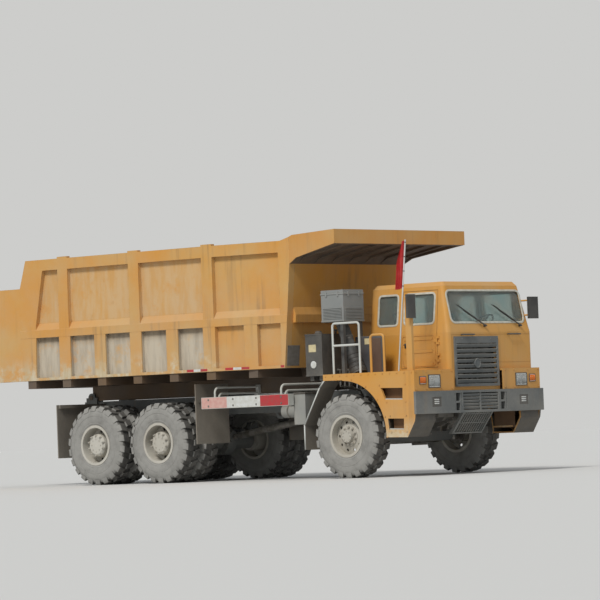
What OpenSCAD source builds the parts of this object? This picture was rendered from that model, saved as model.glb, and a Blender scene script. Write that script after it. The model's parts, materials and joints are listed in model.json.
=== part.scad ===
// Wide-body mining dump truck with three axles.
// Frame: X points forward, Y to the truck's left, Z up. The origin is on the
// ground, below the middle of the whole truck.

/* [Wheels and axles] */
// Distance of the front axle ahead of the origin
front_axle_x = 3235; // [3150:5:3300]
// Distance from the front axle to the middle axle
wheelbase = 4200; // [4150:10:4300]
// Distance between the two driven axles
bogie_pitch = 1500; // [1450:10:1600]
// Outer radius of a tyre, out to its lugs
tyre_r = 680; // [660:5:690]
// Width of a tyre
tyre_w = 375; // [350:5:385]
// Height of the tread lugs above their grooves
lug_h = 34; // [20:2:40]
// Number of lugs round one side of a tyre
lug_count = 22; // [16:2:26]
// Radius of the seat on which a tyre's bead sits
rim_r = 318; // [310:1:322]
// Height of a rim's edge above the bead seat
rim_edge = 28; // [20:1:34]
// Width of a rim
rim_w = 350; // [320:5:360]
// Thickness of a rim
rim_t = 16; // [10:1:20]
// Distance from the centreline to the middle of a front tyre
front_wheel_y = 1385; // [1370:5:1400]
// Distance from the centreline to the middle of an outer rear tyre
dual_y = 1410; // [1400:5:1430]
// Distance between the middles of two twin tyres
dual_pitch = 440; // [430:5:460]
// Distance from the centreline to a kingpin
kingpin_y = 1130; // [1110:5:1140]
// Radius of a kingpin
kingpin_r = 30; // [25:1:35]
// Radius of the spindle in a front hub
spindle_r = 45; // [40:1:55]
// Radius of the tube in a driven hub
hub_tube_r = 75; // [60:1:85]
// Radial clearance of a shaft in its bore
fit_gap = 0.08; // [0.05:0.01:0.1]

/* [Chassis] */
// Height of the frame rails' top
frame_top_z = 1440; // [1420:5:1450]
// Height of a frame rail
rail_h = 320; // [300:10:340]
// Width of a rail's flanges
rail_w = 90; // [80:5:100]
// Thickness of a rail's plates
rail_t = 18; // [12:1:24]
// Width of the frame over both rails
frame_w = 900; // [880:10:920]
// Distance from the rear axle to the frame's end
frame_tail = 1350; // [1300:10:1400]
// Distance from the front axle to the bumper's face
front_overhang = 1565; // [1550:5:1600]
// Depth of the bumper from front to back
bumper_d = 150; // [120:10:180]
// Height of the bumper's lower edge
bumper_z = 990; // [960:10:1020]
// Height of the bumper's face
bumper_h = 360; // [330:10:380]
// Width of the bumper
bumper_w = 3256; // [3200:4:3300]
// Radius of the bores for the towing pins
tow_r = 25; // [20:1:30]

/* [Decks and fenders] */
// Height of the walkway deck
deck_z = 1690; // [1680:5:1700]
// Thickness of the deck's plate
deck_t = 30; // [20:2:40]
// Distance of the deck's rear edge behind the front axle
deck_rear = 415; // [400:5:450]
// Radius of the wheel arch
arch_r = 895; // [880:5:910]
// Lowest point of the step box
step_z = 630; // [600:10:660]
// Distance of the front panel behind the bumper's face
fascia_back = 45; // [40:5:60]

/* [Cab] */
// Distance of the cab's front behind the bumper's face
cab_back = 125; // [110:5:140]
// Length of the cab
cab_l = 1690; // [1650:10:1750]
// Right face of the cab, to the right of the centreline
cab_right = 610; // [600:5:620]
// Left face of the cab, to the left of the centreline
cab_left = 1530; // [1500:5:1540]
// Height of the cab's belt line
belt_z = 2290; // [2270:5:2310]
// Height of the cab's roof
roof_z = 3120; // [3080:10:3160]
// Thickness of the cab's walls and doors
cab_t = 50; // [40:2:60]
// How far the windscreen leans back
screen_lean = 160; // [140:5:180]
// How far each side leans in above the belt
side_lean = 100; // [80:5:110]
// Gap round a door
door_gap = 7; // [6:0.5:9]
// Length of a door
door_l = 780; // [740:10:790]
// Height of the windows' lower edge
window_z = 2450; // [2430:5:2480]
// Thickness of the glass
glass_t = 8; // [6:1:10]
// Number of grille slats
slat_count = 8; // [7:1:12]

/* [Dump body] */
// Half of the body's width over its posts
body_y = 1650; // [1640:5:1655]
// Height of the body's lower edge
body_z = 1837; // [1835:1:1850]
// Height of the side walls
side_h = 2090; // [2050:10:2110]
// Depth of the side panels behind the posts
recess = 75; // [60:5:85]
// Thickness of a side panel
panel_t = 60; // [40:5:70]
// Distance of the headboard's top behind the front axle
body_back = 1190; // [1180:5:1220]
// Width of a side rib
rib_w = 270; // [240:10:300]
// Height of the side beam above the body's lower edge
beam_up = 740; // [720:10:760]
// Height of the side beam's face
beam_h = 130; // [110:5:150]
// How far the side beam stands proud of the ribs
beam_proud = 3; // [2:0.5:4]
// Rise of the side beam's sloping top
beam_slope = 125; // [100:5:140]
// How far the front of each side turns in
side_turn = 182; // [150:2:200]
// Height of the canopy's front edge above the ground
canopy_z = 4036; // [4030:2:4060]
// Height of the canopy's front face
canopy_h = 230; // [200:10:250]
// Half of the canopy's width
canopy_y = 1654; // [1650:1:1660]
// Thickness of the body floor
floor_t = 34; // [24:2:40]
// Rise of the tail floor
tail_rise = 230; // [150:10:260]
// Radius of the body's hinge pins
hinge_r = 40; // [35:1:45]

/* [Hoist] */
// Radius of a hoist barrel
barrel_r = 100; // [90:2:104]
// Radius of a hoist rod
rod_r = 55; // [50:1:60]
// Distance of each hoist from the centreline
hoist_y = 220; // [214:2:224]

/* [Hidden] */
mid_x = front_axle_x - wheelbase;
rear_x = mid_x - bogie_pitch;
axle_z = tyre_r;
nose_x = front_axle_x + front_overhang;
tail_x = -nose_x;
frame_end = rear_x - frame_tail;
bumper_back = nose_x - bumper_d;
rail_y = frame_w / 2;
deck_y = bumper_w / 2 - 28;
rail_front = nose_x - cab_back - cab_t - 5;
rail_z = frame_top_z - rail_h;
tube_r = 18;
clear = 6;
seat = 0.3;
lug_w = 0.61 * 2 * PI * tyre_r / lug_count;
lug_gap = 14;

// Cab stations
cab_x1 = nose_x - cab_back;
cab_x0 = cab_x1 - cab_l;
cab_z0 = deck_z;
cab_mid = (cab_left - cab_right) / 2;
eave_z = roof_z - 70;
door_x1 = cab_x1 - 240;
door_x0 = door_x1 - door_l;
door_z0 = cab_z0 + 45;
door_z1 = eave_z - 60;
firewall_x = door_x1 + 10;
window_z1 = eave_z - 110;
cowl_y = 655;
grille_mid = 66;
grille_w = 1112;
grille_z = 1410;
grille_h = 810;
hinge_out = 20;
rib_out = 8;
knuckle_r = 14;

// Dump body stations
post_x = tail_x + 645;
rib_x0 = post_x + 250;
rib_n = 7;
head_top_x = front_axle_x - body_back;
side_end = head_top_x - 164;
fold_x = side_end - 1426;
rib_pitch = (fold_x - rib_x0 - rib_w / 2 + 45) / 5;
head_z = body_z + 1703;
side_top = body_z + side_h;
beam_z = body_z + beam_up;
turn_slope = side_turn / (side_end - fold_x);
canopy_x = front_axle_x - 10;
panel_y = body_y - recess;
inner_y = panel_y - panel_t;
head_t = 70;
sill_h = 137;
sill_z = body_z - sill_h;
runner_z = frame_top_z + 15;
runner_w = 76;
runner_y = rail_y - rail_w / 2;
pivot_x = frame_end + 200;
pivot_z = frame_top_z + 70;

// Hoist stations
foot_x = mid_x + 1700;
foot_z = 1110;
eye_x = pivot_x + 1950;
eye_z = sill_z - 80;
hoist_len = norm([eye_x - foot_x, eye_z - foot_z]);
hoist_rise = atan2(eye_z - foot_z, foot_x - eye_x);
barrel_len = hoist_len - 280;

// Deck and cab supports
beam_xs = [cab_x0 - 60, firewall_x - 90];
beam_d = 80;
support_z = deck_z - deck_t;
mirror_x = cab_x1 + 40;
post_front = nose_x - 120;
pole_lean = 6.6;
pole_x = nose_x - 435;
rail_line = -deck_y + 90;
flag_t = 24;
mirror_w = 195;
mirror_t = 35;
beyond = 6000;

// Towing slots: Y of each slot's two cheeks, their thickness, and Z of the upper shelf
ear_ys = [490, 625];
ear_t = 30;
shelf_z = bumper_z + 160;

YELLOW = "#e0a030";
DARK = "#4a4e50";
BLACK = "#222426";
GREY = "#9a9c98";
PALE = "#c8ccc8";
GLASS = "#8fb0b8";
RUBBER = "#5a5854";
STEEL = "#6a6c6c";

// A box given by its two corners
module block(low, high) {
  translate(low) cube(high - low);
}

// The right and the left copy of a piece drawn on the left
module both_sides() {
  children();
  mirror([0, 1, 0]) children();
}

// A flat outline in X and Z, made thick from y0 to y1
module side_plate(y0, y1) {
  translate([0, y1, 0]) rotate([90, 0, 0]) linear_extrude(y1 - y0) children();
}

// A flat outline in Y and Z, made thick from x0 to x1
module front_plate(x0, x1) {
  translate([x0, 0, 0]) rotate([90, 0, 90]) linear_extrude(x1 - x0) children();
}

// A round bar along Y
module y_bar(x, y0, y1, z, r, sides = 48) {
  translate([x, y1, z]) rotate([90, 0, 0]) cylinder(r = r, h = y1 - y0, $fn = sides);
}

// A round bar along X
module x_bar(x0, x1, y, z, r, sides = 32) {
  translate([x0, y, z]) rotate([0, 90, 0]) cylinder(r = r, h = x1 - x0, $fn = sides);
}

// A round bar along Z
module z_bar(x, y, z0, z1, r, sides = 32) {
  translate([x, y, z0]) cylinder(r = r, h = z1 - z0, $fn = sides);
}

// A rectangle with round corners, by its corners
module soft_rect(low, high, r) {
  w = high[0] - low[0];
  h = high[1] - low[1];
  translate(low) union() {
    translate([r, 0]) square([w - 2 * r, h]);
    translate([0, r]) square([w, h - 2 * r]);
    for (x = [r, w - r], y = [r, h - r]) translate([x, y]) circle(r = r, $fn = 32);
  }
}

// A revolved piece on a wheel axis that runs along Y
module turned(x, y) {
  translate([x, y, axle_z]) rotate([-90, 0, 0]) rotate_extrude($fn = 96) children();
}

// One frame rail, a channel that opens inwards, on the left
module rail() {
  front_plate(frame_end, rail_front) difference() {
    translate([rail_y - rail_w, rail_z]) square([rail_w, rail_h]);
    translate([rail_y - rail_w - 1, rail_z + rail_t])
      square([rail_w - rail_t + 1, rail_h - 2 * rail_t]);
  }
}

// The ear that carries one hinge pin of the dump body, from y0 to y1
module hinge_ear(y0, y1) {
  side_plate(y0, y1) difference() {
    union() {
      translate([pivot_x, pivot_z]) circle(r = 2 * hinge_r, $fn = 48);
      translate([pivot_x - 130, rail_z + 60]) square([260, pivot_z - rail_z - 60]);
    }
    translate([pivot_x, pivot_z]) circle(r = hinge_r + fit_gap, $fn = 48);
  }
}

module chassis_frame() {
  // Cross-members: place, length, lowest and highest point
  cross = [[rail_front - 160, 120, rail_z, frame_top_z - 60],
    [foot_x + 420, 140, rail_z, frame_top_z - 20],
    [mid_x + 450, 110, rail_z, rail_z + 60],
    [rear_x + 300, 140, rail_z, frame_top_z - 20],
    [frame_end + 60, 120, rail_z, frame_top_z - 20]];
  trunnion_x = (mid_x + rear_x) / 2;
  foot_r = barrel_r / 2;
  color(DARK) union() {
    both_sides() {
      rail();
      hinge_ear(rail_y - 1, rail_y + 32);
      hinge_ear(rail_y - rail_w - 32, rail_y - rail_w + 2);
      side_plate(rail_y - rail_w - 30, rail_y - rail_w + 2) difference() {
        union() {
          translate([foot_x, foot_z]) circle(r = 2 * foot_r, $fn = 48);
          translate([foot_x - 130, foot_z]) square([260, frame_top_z - foot_z - 2]);
        }
        translate([foot_x, foot_z]) circle(r = foot_r + fit_gap, $fn = 48);
      }
      for (x = beam_xs)
        block([x, rail_y - rail_w, frame_top_z - 2], [x + beam_d, rail_y, support_z - beam_d + 2]);
      block([trunnion_x - 150, rail_y - rail_w, rail_z - 120],
        [trunnion_x + 150, rail_y, rail_z + 2]);
    }
    for (c = cross)
      block([c[0], -rail_y + rail_t - 2, c[2]], [c[0] + c[1], rail_y - rail_t + 2, c[3]]);
    for (x = beam_xs)
      block([x, -deck_y + 60, support_z - beam_d], [x + beam_d, deck_y - 60, support_z]);
    tow_jaw();
  }
}

// The towing jaw on the frame's end, with an upright pin bore
module tow_jaw() {
  jaw_x = frame_end - 75;
  jaw_z = rail_z + 60;
  difference() {
    union() {
      block([jaw_x, -70, jaw_z], [frame_end + 62, 70, jaw_z + 140]);
      z_bar(jaw_x, 0, jaw_z, jaw_z + 140, 70);
    }
    block([jaw_x - 71, -80, jaw_z + 35], [jaw_x + 60, 80, jaw_z + 105]);
    z_bar(jaw_x, 0, jaw_z - 1, jaw_z + 141, tow_r);
  }
}

module front_bumper() {
  pin_y = (ear_ys[0] + ear_ys[1] + ear_t) / 2;
  color(DARK) difference() {
    bumper_beam();
    both_sides() z_bar(nose_x - 60, pin_y, bumper_z - 1, shelf_z + ear_t + 1, tow_r, 48);
  }
}

// Side outline of a strip along the sloping step, of a given depth from front to back
module step_strip(depth) {
  polygon([[nose_x - 95 - depth / 2, bumper_z + 2], [nose_x - 95 + depth / 2, bumper_z + 2],
    [nose_x - 355 + depth / 2, step_z + 30], [nose_x - 355 - depth / 2, step_z + 30]]);
}

// The bumper with its louvred insert, towing slots and barred step
module bumper_beam() {
  insert_y = 450;
  top_z = bumper_z + bumper_h;
  lamp_mid = 1110;
  bar_count = 12;
  bar_pitch = 760 / (bar_count + 1);
  union() {
    difference() {
      union() {
        block([nose_x - fascia_back, -bumper_w / 2, bumper_z], [nose_x, bumper_w / 2, top_z]);
        block([bumper_back, -1080, bumper_z], [nose_x - 2, 1080, top_z]);
      }
      block([bumper_back - 1, -1050, bumper_z + 30], [nose_x - 30, 1050, top_z - 30]);
      block([nose_x - 31, -insert_y, bumper_z + 40], [nose_x + 1, insert_y, top_z - 40]);
      both_sides() {
        block([nose_x - 31, ear_ys[0] - 10, bumper_z + 40],
          [nose_x + 1, ear_ys[1] + ear_t + 10, top_z - 40]);
        block([bumper_back - 1, lamp_mid - 115, bumper_z + 105],
          [nose_x + 1, lamp_mid + 115, bumper_z + 265]);
      }
    }
    both_sides() {
      for (y = ear_ys)
        block([bumper_back, y, bumper_z + 2], [nose_x - 5, y + ear_t, top_z - 2]);
      // Shelves that hold the upright towing pin
      for (z = [bumper_z, shelf_z])
        block([bumper_back + 2, ear_ys[0] + 2, z], [nose_x - 5, ear_ys[1] + ear_t - 2, z + ear_t]);
      block([rail_front + seat, rail_y - rail_w, rail_z + 10],
        [bumper_back + 40, rail_y, top_z - 2]);
    }
    for (i = [0:4])
      translate([nose_x - 24, 0, bumper_z + 75 + i * 52]) rotate([0, 25, 0])
        cube([10, 2 * insert_y + 2, 40], center = true);
    block([nose_x - 32, -15, bumper_z + 29], [nose_x - 8, 15, top_z - 29]);
    // Barred step that slopes back below the bumper
    for (y = [-380, 350]) side_plate(y, y + 30) step_strip(70);
    for (i = [1:bar_count]) side_plate(-380 + i * bar_pitch, -366 + i * bar_pitch) step_strip(30);
    for (t = [0.06, 0.5]) y_bar(nose_x - 95 - 260 * t, -351, 351,
      bumper_z - (bumper_z - step_z - 30) * t, 9, 32);
    block([nose_x - 392, -379, step_z + 22], [nose_x - 318, 379, step_z + 44]);
  }
}

// Outline of a fender's outer face in X and Z, with the wheel arch
module fender_outline() {
  x0 = front_axle_x - deck_rear;
  x1 = nose_x - fascia_back;
  difference() {
    polygon([[x0, deck_z], [x0, deck_z - 100], [front_axle_x, deck_z - 105],
      [front_axle_x, axle_z], [front_axle_x + arch_r, step_z + 10], [nose_x - 222, step_z],
      [nose_x - 63, bumper_z - 110], [x1, bumper_z], [x1, deck_z]]);
    translate([front_axle_x, axle_z]) circle(r = arch_r, $fn = 96);
  }
}

// The two foothold openings in the outer face
module foothold_outline() {
  polygon([[nose_x - 758, 1432], [nose_x - 672, 1245], [nose_x - 305, 1232],
    [nose_x - 296, 1418]]);
  polygon([[nose_x - 625, 939], [nose_x - 602, 763], [nose_x - 298, 754],
    [nose_x - 289, 929]]);
}

// A fender, its deck, step box and front panel, drawn on the left
module fender(inner) {
  skirt = 40;
  box_in = 1090;
  x0 = front_axle_x - deck_rear;
  x1 = nose_x - fascia_back;
  color(YELLOW) union() {
    side_plate(deck_y - skirt, deck_y) difference() {
      fender_outline();
      foothold_outline();
    }
    block([x0, inner, deck_z - deck_t], [x1, deck_y, deck_z]);
    block([x0, inner + 400, deck_z - 100], [x0 + 20, deck_y - 2, deck_z - 2]);
    // Front panel with the lamp openings
    front_plate(x1 - 30, x1) difference() {
      translate([inner, bumper_z + bumper_h + 2])
        square([deck_y - inner, deck_z - bumper_z - bumper_h - 2]);
      soft_rect([975, 1415], [1245, 1600], 20);
      soft_rect([1325, 1470], [1470, 1580], 12);
    }
    // Curved wall of the arch and the front wall of the step box
    side_plate(box_in, deck_y - 2) intersection() {
      difference() {
        translate([front_axle_x, axle_z]) circle(r = arch_r + 20, $fn = 96);
        translate([front_axle_x, axle_z]) circle(r = arch_r, $fn = 96);
      }
      translate([front_axle_x, step_z]) square([arch_r + 30, deck_z - step_z - 2]);
    }
    side_plate(box_in, deck_y - 2) polygon([[nose_x - 222, step_z], [nose_x - 63, bumper_z - 110],
      [nose_x - 63, bumper_z + 60], [nose_x - 93, bumper_z + 60], [nose_x - 93, bumper_z - 105],
      [nose_x - 240, step_z + 20], [front_axle_x + arch_r - 10, step_z + 30],
      [front_axle_x + arch_r, step_z + 10]]);
    // Trays behind the two footholds
    side_plate(box_in, deck_y - 2) difference() {
      for (z = [754, 1228])
        translate([front_axle_x + arch_r - 120, z - 24]) square([nose_x - front_axle_x - arch_r - 120, 24]);
      translate([front_axle_x, axle_z]) circle(r = arch_r + 10, $fn = 96);
    }
  }
}

module fender_right() {
  mirror([0, 1, 0]) fender(cab_right + 2);
}

module fender_left() {
  fender(cowl_y + 2);
}

module lamps() {
  fascia_x = nose_x - fascia_back;
  color(PALE) {
    both_sides() {
      // Head lamp, marker lamp, fog lamp and tail lamp
      front_plate(fascia_x - 60, fascia_x + 8) soft_rect([975 + seat, 1415 + seat], [1245 - seat, 1600 - seat], 20);
      front_plate(fascia_x - 40, fascia_x + 10) soft_rect([1325 + seat, 1470 + seat], [1470 - seat, 1580 - seat], 12);
      block([nose_x - 90, 995 + seat, bumper_z + 105 + seat],
        [nose_x - 6, 1225 - seat, bumper_z + 265 - seat]);
      block([frame_end - 45, 520, rail_z + 90], [frame_end, 840, rail_z + 210]);
      block([frame_end - 1, rail_y, rail_z + 130], [frame_end + 40, 560, rail_z + 170]);
    }
  }
}

// The cab's rounded plan at one level, drawn in by d, leaning by k (0 to 1)
module cab_plan(d, k, z, h) {
  low = [cab_x0 + d, -cab_right + d + side_lean * k];
  high = [cab_x1 - d - screen_lean * k, cab_left - d - side_lean * k];
  translate([0, 0, z]) linear_extrude(h) soft_rect(low, high, 70 - d / 2);
}

// The cab's outer form, drawn in by d on every side
module cab_form(d) {
  cab_plan(d, 0, cab_z0 - 1, belt_z - cab_z0 + 1);
  hull() {
    cab_plan(d, 0, belt_z - 0.1, 0.1);
    cab_plan(d, 1, eave_z, 0.1);
    cab_plan(d + 60, 1, roof_z - d - 0.1, 0.1);
  }
}

// The walls of the cab as one shell
module cab_shell() {
  difference() {
    cab_form(0);
    cab_form(cab_t);
  }
}

// Outline of a door in X and Z, smaller by gap on every side
module door_outline(gap) {
  polygon([[door_x0 + gap, door_z0 + gap], [door_x1 - gap, door_z0 + gap],
    [door_x1 - gap, belt_z], [door_x1 - gap - 15, door_z1 - gap],
    [door_x0 + gap + 30, door_z1 - gap], [door_x0 + gap, belt_z]]);
}

// Outlines of the side windows in X and Z, smaller by gap
module door_window(gap) {
  soft_rect([door_x0 + 75 + gap, window_z + gap], [door_x1 - 75 - gap, window_z1 - gap], 70);
}

module quarter_window(gap) {
  soft_rect([cab_x0 + 190 + gap, window_z + gap], [door_x0 - 70 - gap, window_z1 - gap], 60);
}

module screen_window(gap) {
  soft_rect([-cab_right + 135 + gap, window_z + gap], [cab_left - 135 - gap, window_z1 + 30 - gap], 90);
}

module rear_window(gap) {
  soft_rect([cab_mid - 420 + gap, window_z + gap], [cab_mid + 420 - gap, window_z1 - gap], 70);
}

// Hinge knuckles of one door on the right wall: side 1 is the door's part
module door_hinge(door_part) {
  ax = [door_x1, -cab_right - hinge_out];
  for (z = [cab_z0 + 170, belt_z - 150]) {
    if (door_part) {
      difference() {
        union() {
          z_bar(ax[0], ax[1], z, z + 60, knuckle_r);
          block([ax[0] - 60, ax[1], z], [ax[0] - clear, -cab_right + 2, z + 60]);
        }
        z_bar(ax[0], ax[1], z - 1, z + 61, 6 + fit_gap);
      }
    } else {
      z_bar(ax[0], ax[1], z - 36, z + 96, 6);
      for (low = [z - 36, z + 61]) {
        z_bar(ax[0], ax[1], low, low + 35, knuckle_r);
        block([ax[0] + 2, ax[1], low], [ax[0] + 50, -cab_right + 2, low + 35]);
      }
    }
  }
}

module cab_floor() {
  color(YELLOW) intersection() {
    block([cab_x0, -cab_right, cab_z0], [firewall_x, cab_left, cab_z0 + 40]);
    cab_plan(cab_t, 0, cab_z0, 40);
  }
}

module cab_front() {
  open_y = grille_w / 2 - 42;
  seam = 6;
  color(YELLOW) union() {
    difference() {
      intersection() {
        cab_shell();
        block([door_x1, -2000, cab_z0], [nose_x, 2000, eave_z]);
      }
      front_plate(cab_x1 - 400, nose_x) screen_window(0);
      block([cab_x1 - 300, grille_mid - open_y, grille_z], [nose_x, grille_mid + open_y,
        grille_z + grille_h - 45]);
      // Seams of the front panel
      block([cab_x1 - seam, -cab_right + 60, belt_z - 44], [cab_x1 + 1, cab_left - 60, belt_z - 44 + seam]);
      block([cab_x1 - seam, -cab_right + 74, cab_z0 - 2], [cab_x1 + 1, -cab_right + 74 + seam, belt_z - 44]);
      block([cab_x1 - seam, grille_mid + grille_w / 2, cab_z0 + 100],
        [cab_x1 + 1, cab_left - 60, cab_z0 + 100 + seam]);
    }
    // Cowl below the cab's floor line
    difference() {
      block([cab_x1 - cab_t, -cab_right + 1, bumper_z + bumper_h + 2], [cab_x1, cowl_y, cab_z0 + 1]);
      block([cab_x1 - 300, grille_mid - open_y, grille_z], [nose_x, grille_mid + open_y,
        grille_z + grille_h]);
    }
    // Shelf under the windscreen and the bulkhead behind the radiator
    block([firewall_x, -cab_right + 20, belt_z - 40], [cab_x1 - 20, cab_left - 20, belt_z - 10]);
    block([firewall_x, -cab_right + 20, cab_z0], [firewall_x + 30, cab_left - 20, belt_z - 12]);
    door_hinge(false);
    translate([0, cab_left - cab_right, 0]) mirror([0, 1, 0]) door_hinge(false);
    // Arms of the left mirror
    for (z = [2560, 2800]) x_bar(cab_x1 - screen_lean, mirror_x, cab_left - side_lean, z, 14);
  }
}

module cab_rear() {
  color(YELLOW) difference() {
    intersection() {
      cab_shell();
      block([0, -2000, cab_z0], [cab_x0 + 80, 2000, eave_z]);
    }
    front_plate(cab_x0 - 1, cab_x0 + 81) rear_window(0);
  }
}

module cab_roof() {
  color(YELLOW) intersection() {
    cab_shell();
    block([0, -2000, eave_z], [nose_x, 2000, roof_z + 1]);
  }
}

// The side wall of the cab round the door, drawn on the right
module cab_side(low, high) {
  color(YELLOW) difference() {
    intersection() {
      cab_shell();
      block([cab_x0 + 80, low, cab_z0], [door_x1, high, eave_z]);
    }
    side_plate(low - 1, high + 1) union() {
      door_outline(0);
      quarter_window(0);
    }
  }
}

module cab_side_right() {
  cab_side(-cab_right - 1, -cab_right + side_lean + cab_t + 60);
}

module cab_side_left() {
  cab_side(cab_left - side_lean - cab_t - 60, cab_left + 1);
}

// A thin layer of the cab's form where the glass lies
module glass_layer() {
  difference() {
    cab_form(20);
    cab_form(20 + glass_t);
  }
}

module cab_glass() {
  color(GLASS) intersection() {
    glass_layer();
    union() {
      front_plate(cab_x1 - 350, nose_x) screen_window(seat);
      front_plate(cab_x0 - 1, cab_x0 + 75) rear_window(seat);
      for (y = [-cab_right - 1, cab_left - 250]) side_plate(y, y + 251) quarter_window(seat);
    }
  }
}

// One door leaf between low and high in Y
module door_leaf(low, high) {
  difference() {
    intersection() {
      cab_shell();
      side_plate(low, high) door_outline(door_gap);
    }
    side_plate(low - 1, high + 1) door_window(0);
  }
}

// Pressed ribs of the right door, which stand out from its lower panel
module door_ribs() {
  for (z = [1800, 2005, 2210]) side_plate(-cab_right - rib_out, -cab_right + 2)
    soft_rect([door_x0 + 80, z - 26], [door_x1 - 95, z + 26], 25);
  side_plate(-cab_right - rib_out, -cab_right + 2) difference() {
    soft_rect([door_x0 + 36, door_z0 + 28], [door_x1 - 40, belt_z - 24], 60);
    soft_rect([door_x0 + 48, door_z0 + 40], [door_x1 - 52, belt_z - 36], 48);
  }
}

module door_right() {
  color(YELLOW) union() {
    door_leaf(-cab_right - 1, -cab_right + side_lean + cab_t + 60);
    door_hinge(true);
    door_ribs();
  }
}

module door_left() {
  color(YELLOW) union() {
    door_leaf(cab_left - side_lean - cab_t - 60, cab_left + 1);
    translate([0, cab_left - cab_right, 0]) mirror([0, 1, 0]) {
      door_hinge(true);
      door_ribs();
    }
  }
}

module door_glass_right() {
  color(GLASS) intersection() {
    glass_layer();
    side_plate(-cab_right - 1, -cab_right + 250) door_window(seat);
  }
}

module door_glass_left() {
  color(GLASS) intersection() {
    glass_layer();
    side_plate(cab_left - 250, cab_left + 1) door_window(seat);
  }
}

module grille() {
  rim = 45;
  badge_r = 75;
  y0 = grille_mid - grille_w / 2;
  y1 = grille_mid + grille_w / 2;
  head = 110;
  pitch = (grille_h - head - rim) / slat_count;
  color(DARK) union() {
    front_plate(cab_x1, cab_x1 + 25) difference() {
      translate([y0, grille_z]) square([grille_w, grille_h]);
      translate([y0 + rim, grille_z + rim]) square([grille_w - 2 * rim, grille_h - head - rim]);
    }
    for (i = [0:slat_count - 1])
      translate([cab_x1 + 10, grille_mid, grille_z + rim + (i + 0.5) * pitch]) rotate([0, 30, 0])
        cube([10, grille_w - 2 * rim + 2, pitch * 0.72], center = true);
    // Bare round boss on the slats
    x_bar(cab_x1 - 8, cab_x1 + 34, grille_mid, grille_z + rim + pitch * slat_count * 0.5, badge_r, 64);
  }
}

module dashboard() {
  wheel_mid = [firewall_x - 330, cab_mid + 480, cab_z0 + 760];
  color(BLACK) union() {
    side_plate(-cab_right + cab_t + 60, cab_left - cab_t - 60)
      polygon([[firewall_x, belt_z - 300], [firewall_x, belt_z], [firewall_x - 60, belt_z + 30],
        [firewall_x - 190, belt_z - 30], [firewall_x - 210, belt_z - 180]]);
    // Steering wheel and its column
    translate(wheel_mid) rotate([0, -40, 0]) {
      rotate_extrude($fn = 64) translate([210, 0]) circle(r = 14, $fn = 24);
      for (a = [0, 120, 240]) rotate([0, 0, a]) translate([0, -12, -8]) cube([205, 24, 12]);
      translate([0, 0, -10]) cylinder(r = 40, h = 20, $fn = 32);
      translate([0, 0, -280]) cylinder(r = 22, h = 280, $fn = 32);
    }
  }
}

module cab_seats() {
  color(BLACK) for (y = [cab_mid - 560, cab_mid + 480]) {
    translate([firewall_x - 1130, y, cab_z0 + 40]) {
      block([80, -170, 0], [480, 170, 240]);
      block([0, -250, 240], [560, 250, 370]);
      side_plate(-240, 240) polygon([[0, 369], [130, 369], [30, 960], [-90, 960]]);
    }
  }
}

module wipers_and_mirrors() {
  lean = atan(screen_lean / (eave_z - belt_z));
  color(BLACK) {
    // Grab handles on the front of the cab
    for (y = [-305, 885]) {
      y_bar(cab_x1 + 45, y, y + 300, belt_z - 40, 12);
      for (e = [y + 12, y + 288]) x_bar(cab_x1, cab_x1 + 45, e, belt_z - 40, 10);
    }
    // Wipers: pivot and the arm that lies along the glass
    for (y = [330, 1240]) {
      translate([cab_x1, y, belt_z]) rotate([0, -lean, 0]) translate([seat, 0, 100]) {
        rotate([0, 90, 0]) cylinder(r = 20, h = 40, $fn = 32);
        translate([28, 0, 0]) rotate([62, 0, 0]) block([-4, -9, 0], [10, 9, 560]);
      }
    }
    // Mirror heads
    block([post_front + seat, rail_line + 60 - mirror_w, 2520],
      [post_front + mirror_t, rail_line + 60, 2900]);
    block([mirror_x + seat, cab_left - 125, 2500], [mirror_x + mirror_t, cab_left + 115, 2860]);
  }
}

// A quarter bend of round bar in X and Z, turned by quarters
module bend(x, y, z, reach, r, quarters) {
  translate([x, y, z]) rotate([90, 0, 0]) rotate([0, 0, 90 * quarters])
    rotate_extrude(angle = 90, $fn = 48) translate([reach, 0]) circle(r = r, $fn = 24);
}

// A loop of round bar standing on the deck: two legs and a top bar along X
module deck_loop(x0, x1, y, z1, r) {
  reach = 3 * r;
  z_bar(x0, y, deck_z, z1 - reach, r);
  z_bar(x1, y, deck_z, z1 - reach, r);
  x_bar(x0 + reach, x1 - reach, y, z1, r);
  bend(x1 - reach, y, z1 - reach, reach, r, 0);
  bend(x0 + reach, y, z1 - reach, reach, r, 1);
}

module handrails() {
  color(YELLOW) union() {
    // Mirror post
    block([post_front - 120, rail_line - 25, deck_z], [post_front, rail_line + 25, 2860]);
    deck_loop(nose_x - 1010, nose_x - 730, rail_line, 2290, 20);
  }
}

module pipe_rails() {
  color(PALE) union() {
    deck_loop(front_axle_x - 250, front_axle_x + 320, rail_line, 2510, tube_r);
    x_bar(front_axle_x - 250, front_axle_x + 320, rail_line, 2150, tube_r);
    // Flag pole, which leans forward
    translate([pole_x, rail_line, deck_z + 2]) rotate([0, pole_lean, 0])
      cylinder(r = 12, h = 2100, $fn = 32);
  }
}

module flag() {
  color("crimson") translate([pole_x, 0, deck_z]) rotate([0, pole_lean, 0])
    side_plate(rail_line - flag_t / 2, rail_line + flag_t / 2) polygon([[-12 - seat, 1290], [-12 - seat, 2080],
      [-40, 2080], [-130, 1850], [-150, 1330], [-90, 1290]]);
}

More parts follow.
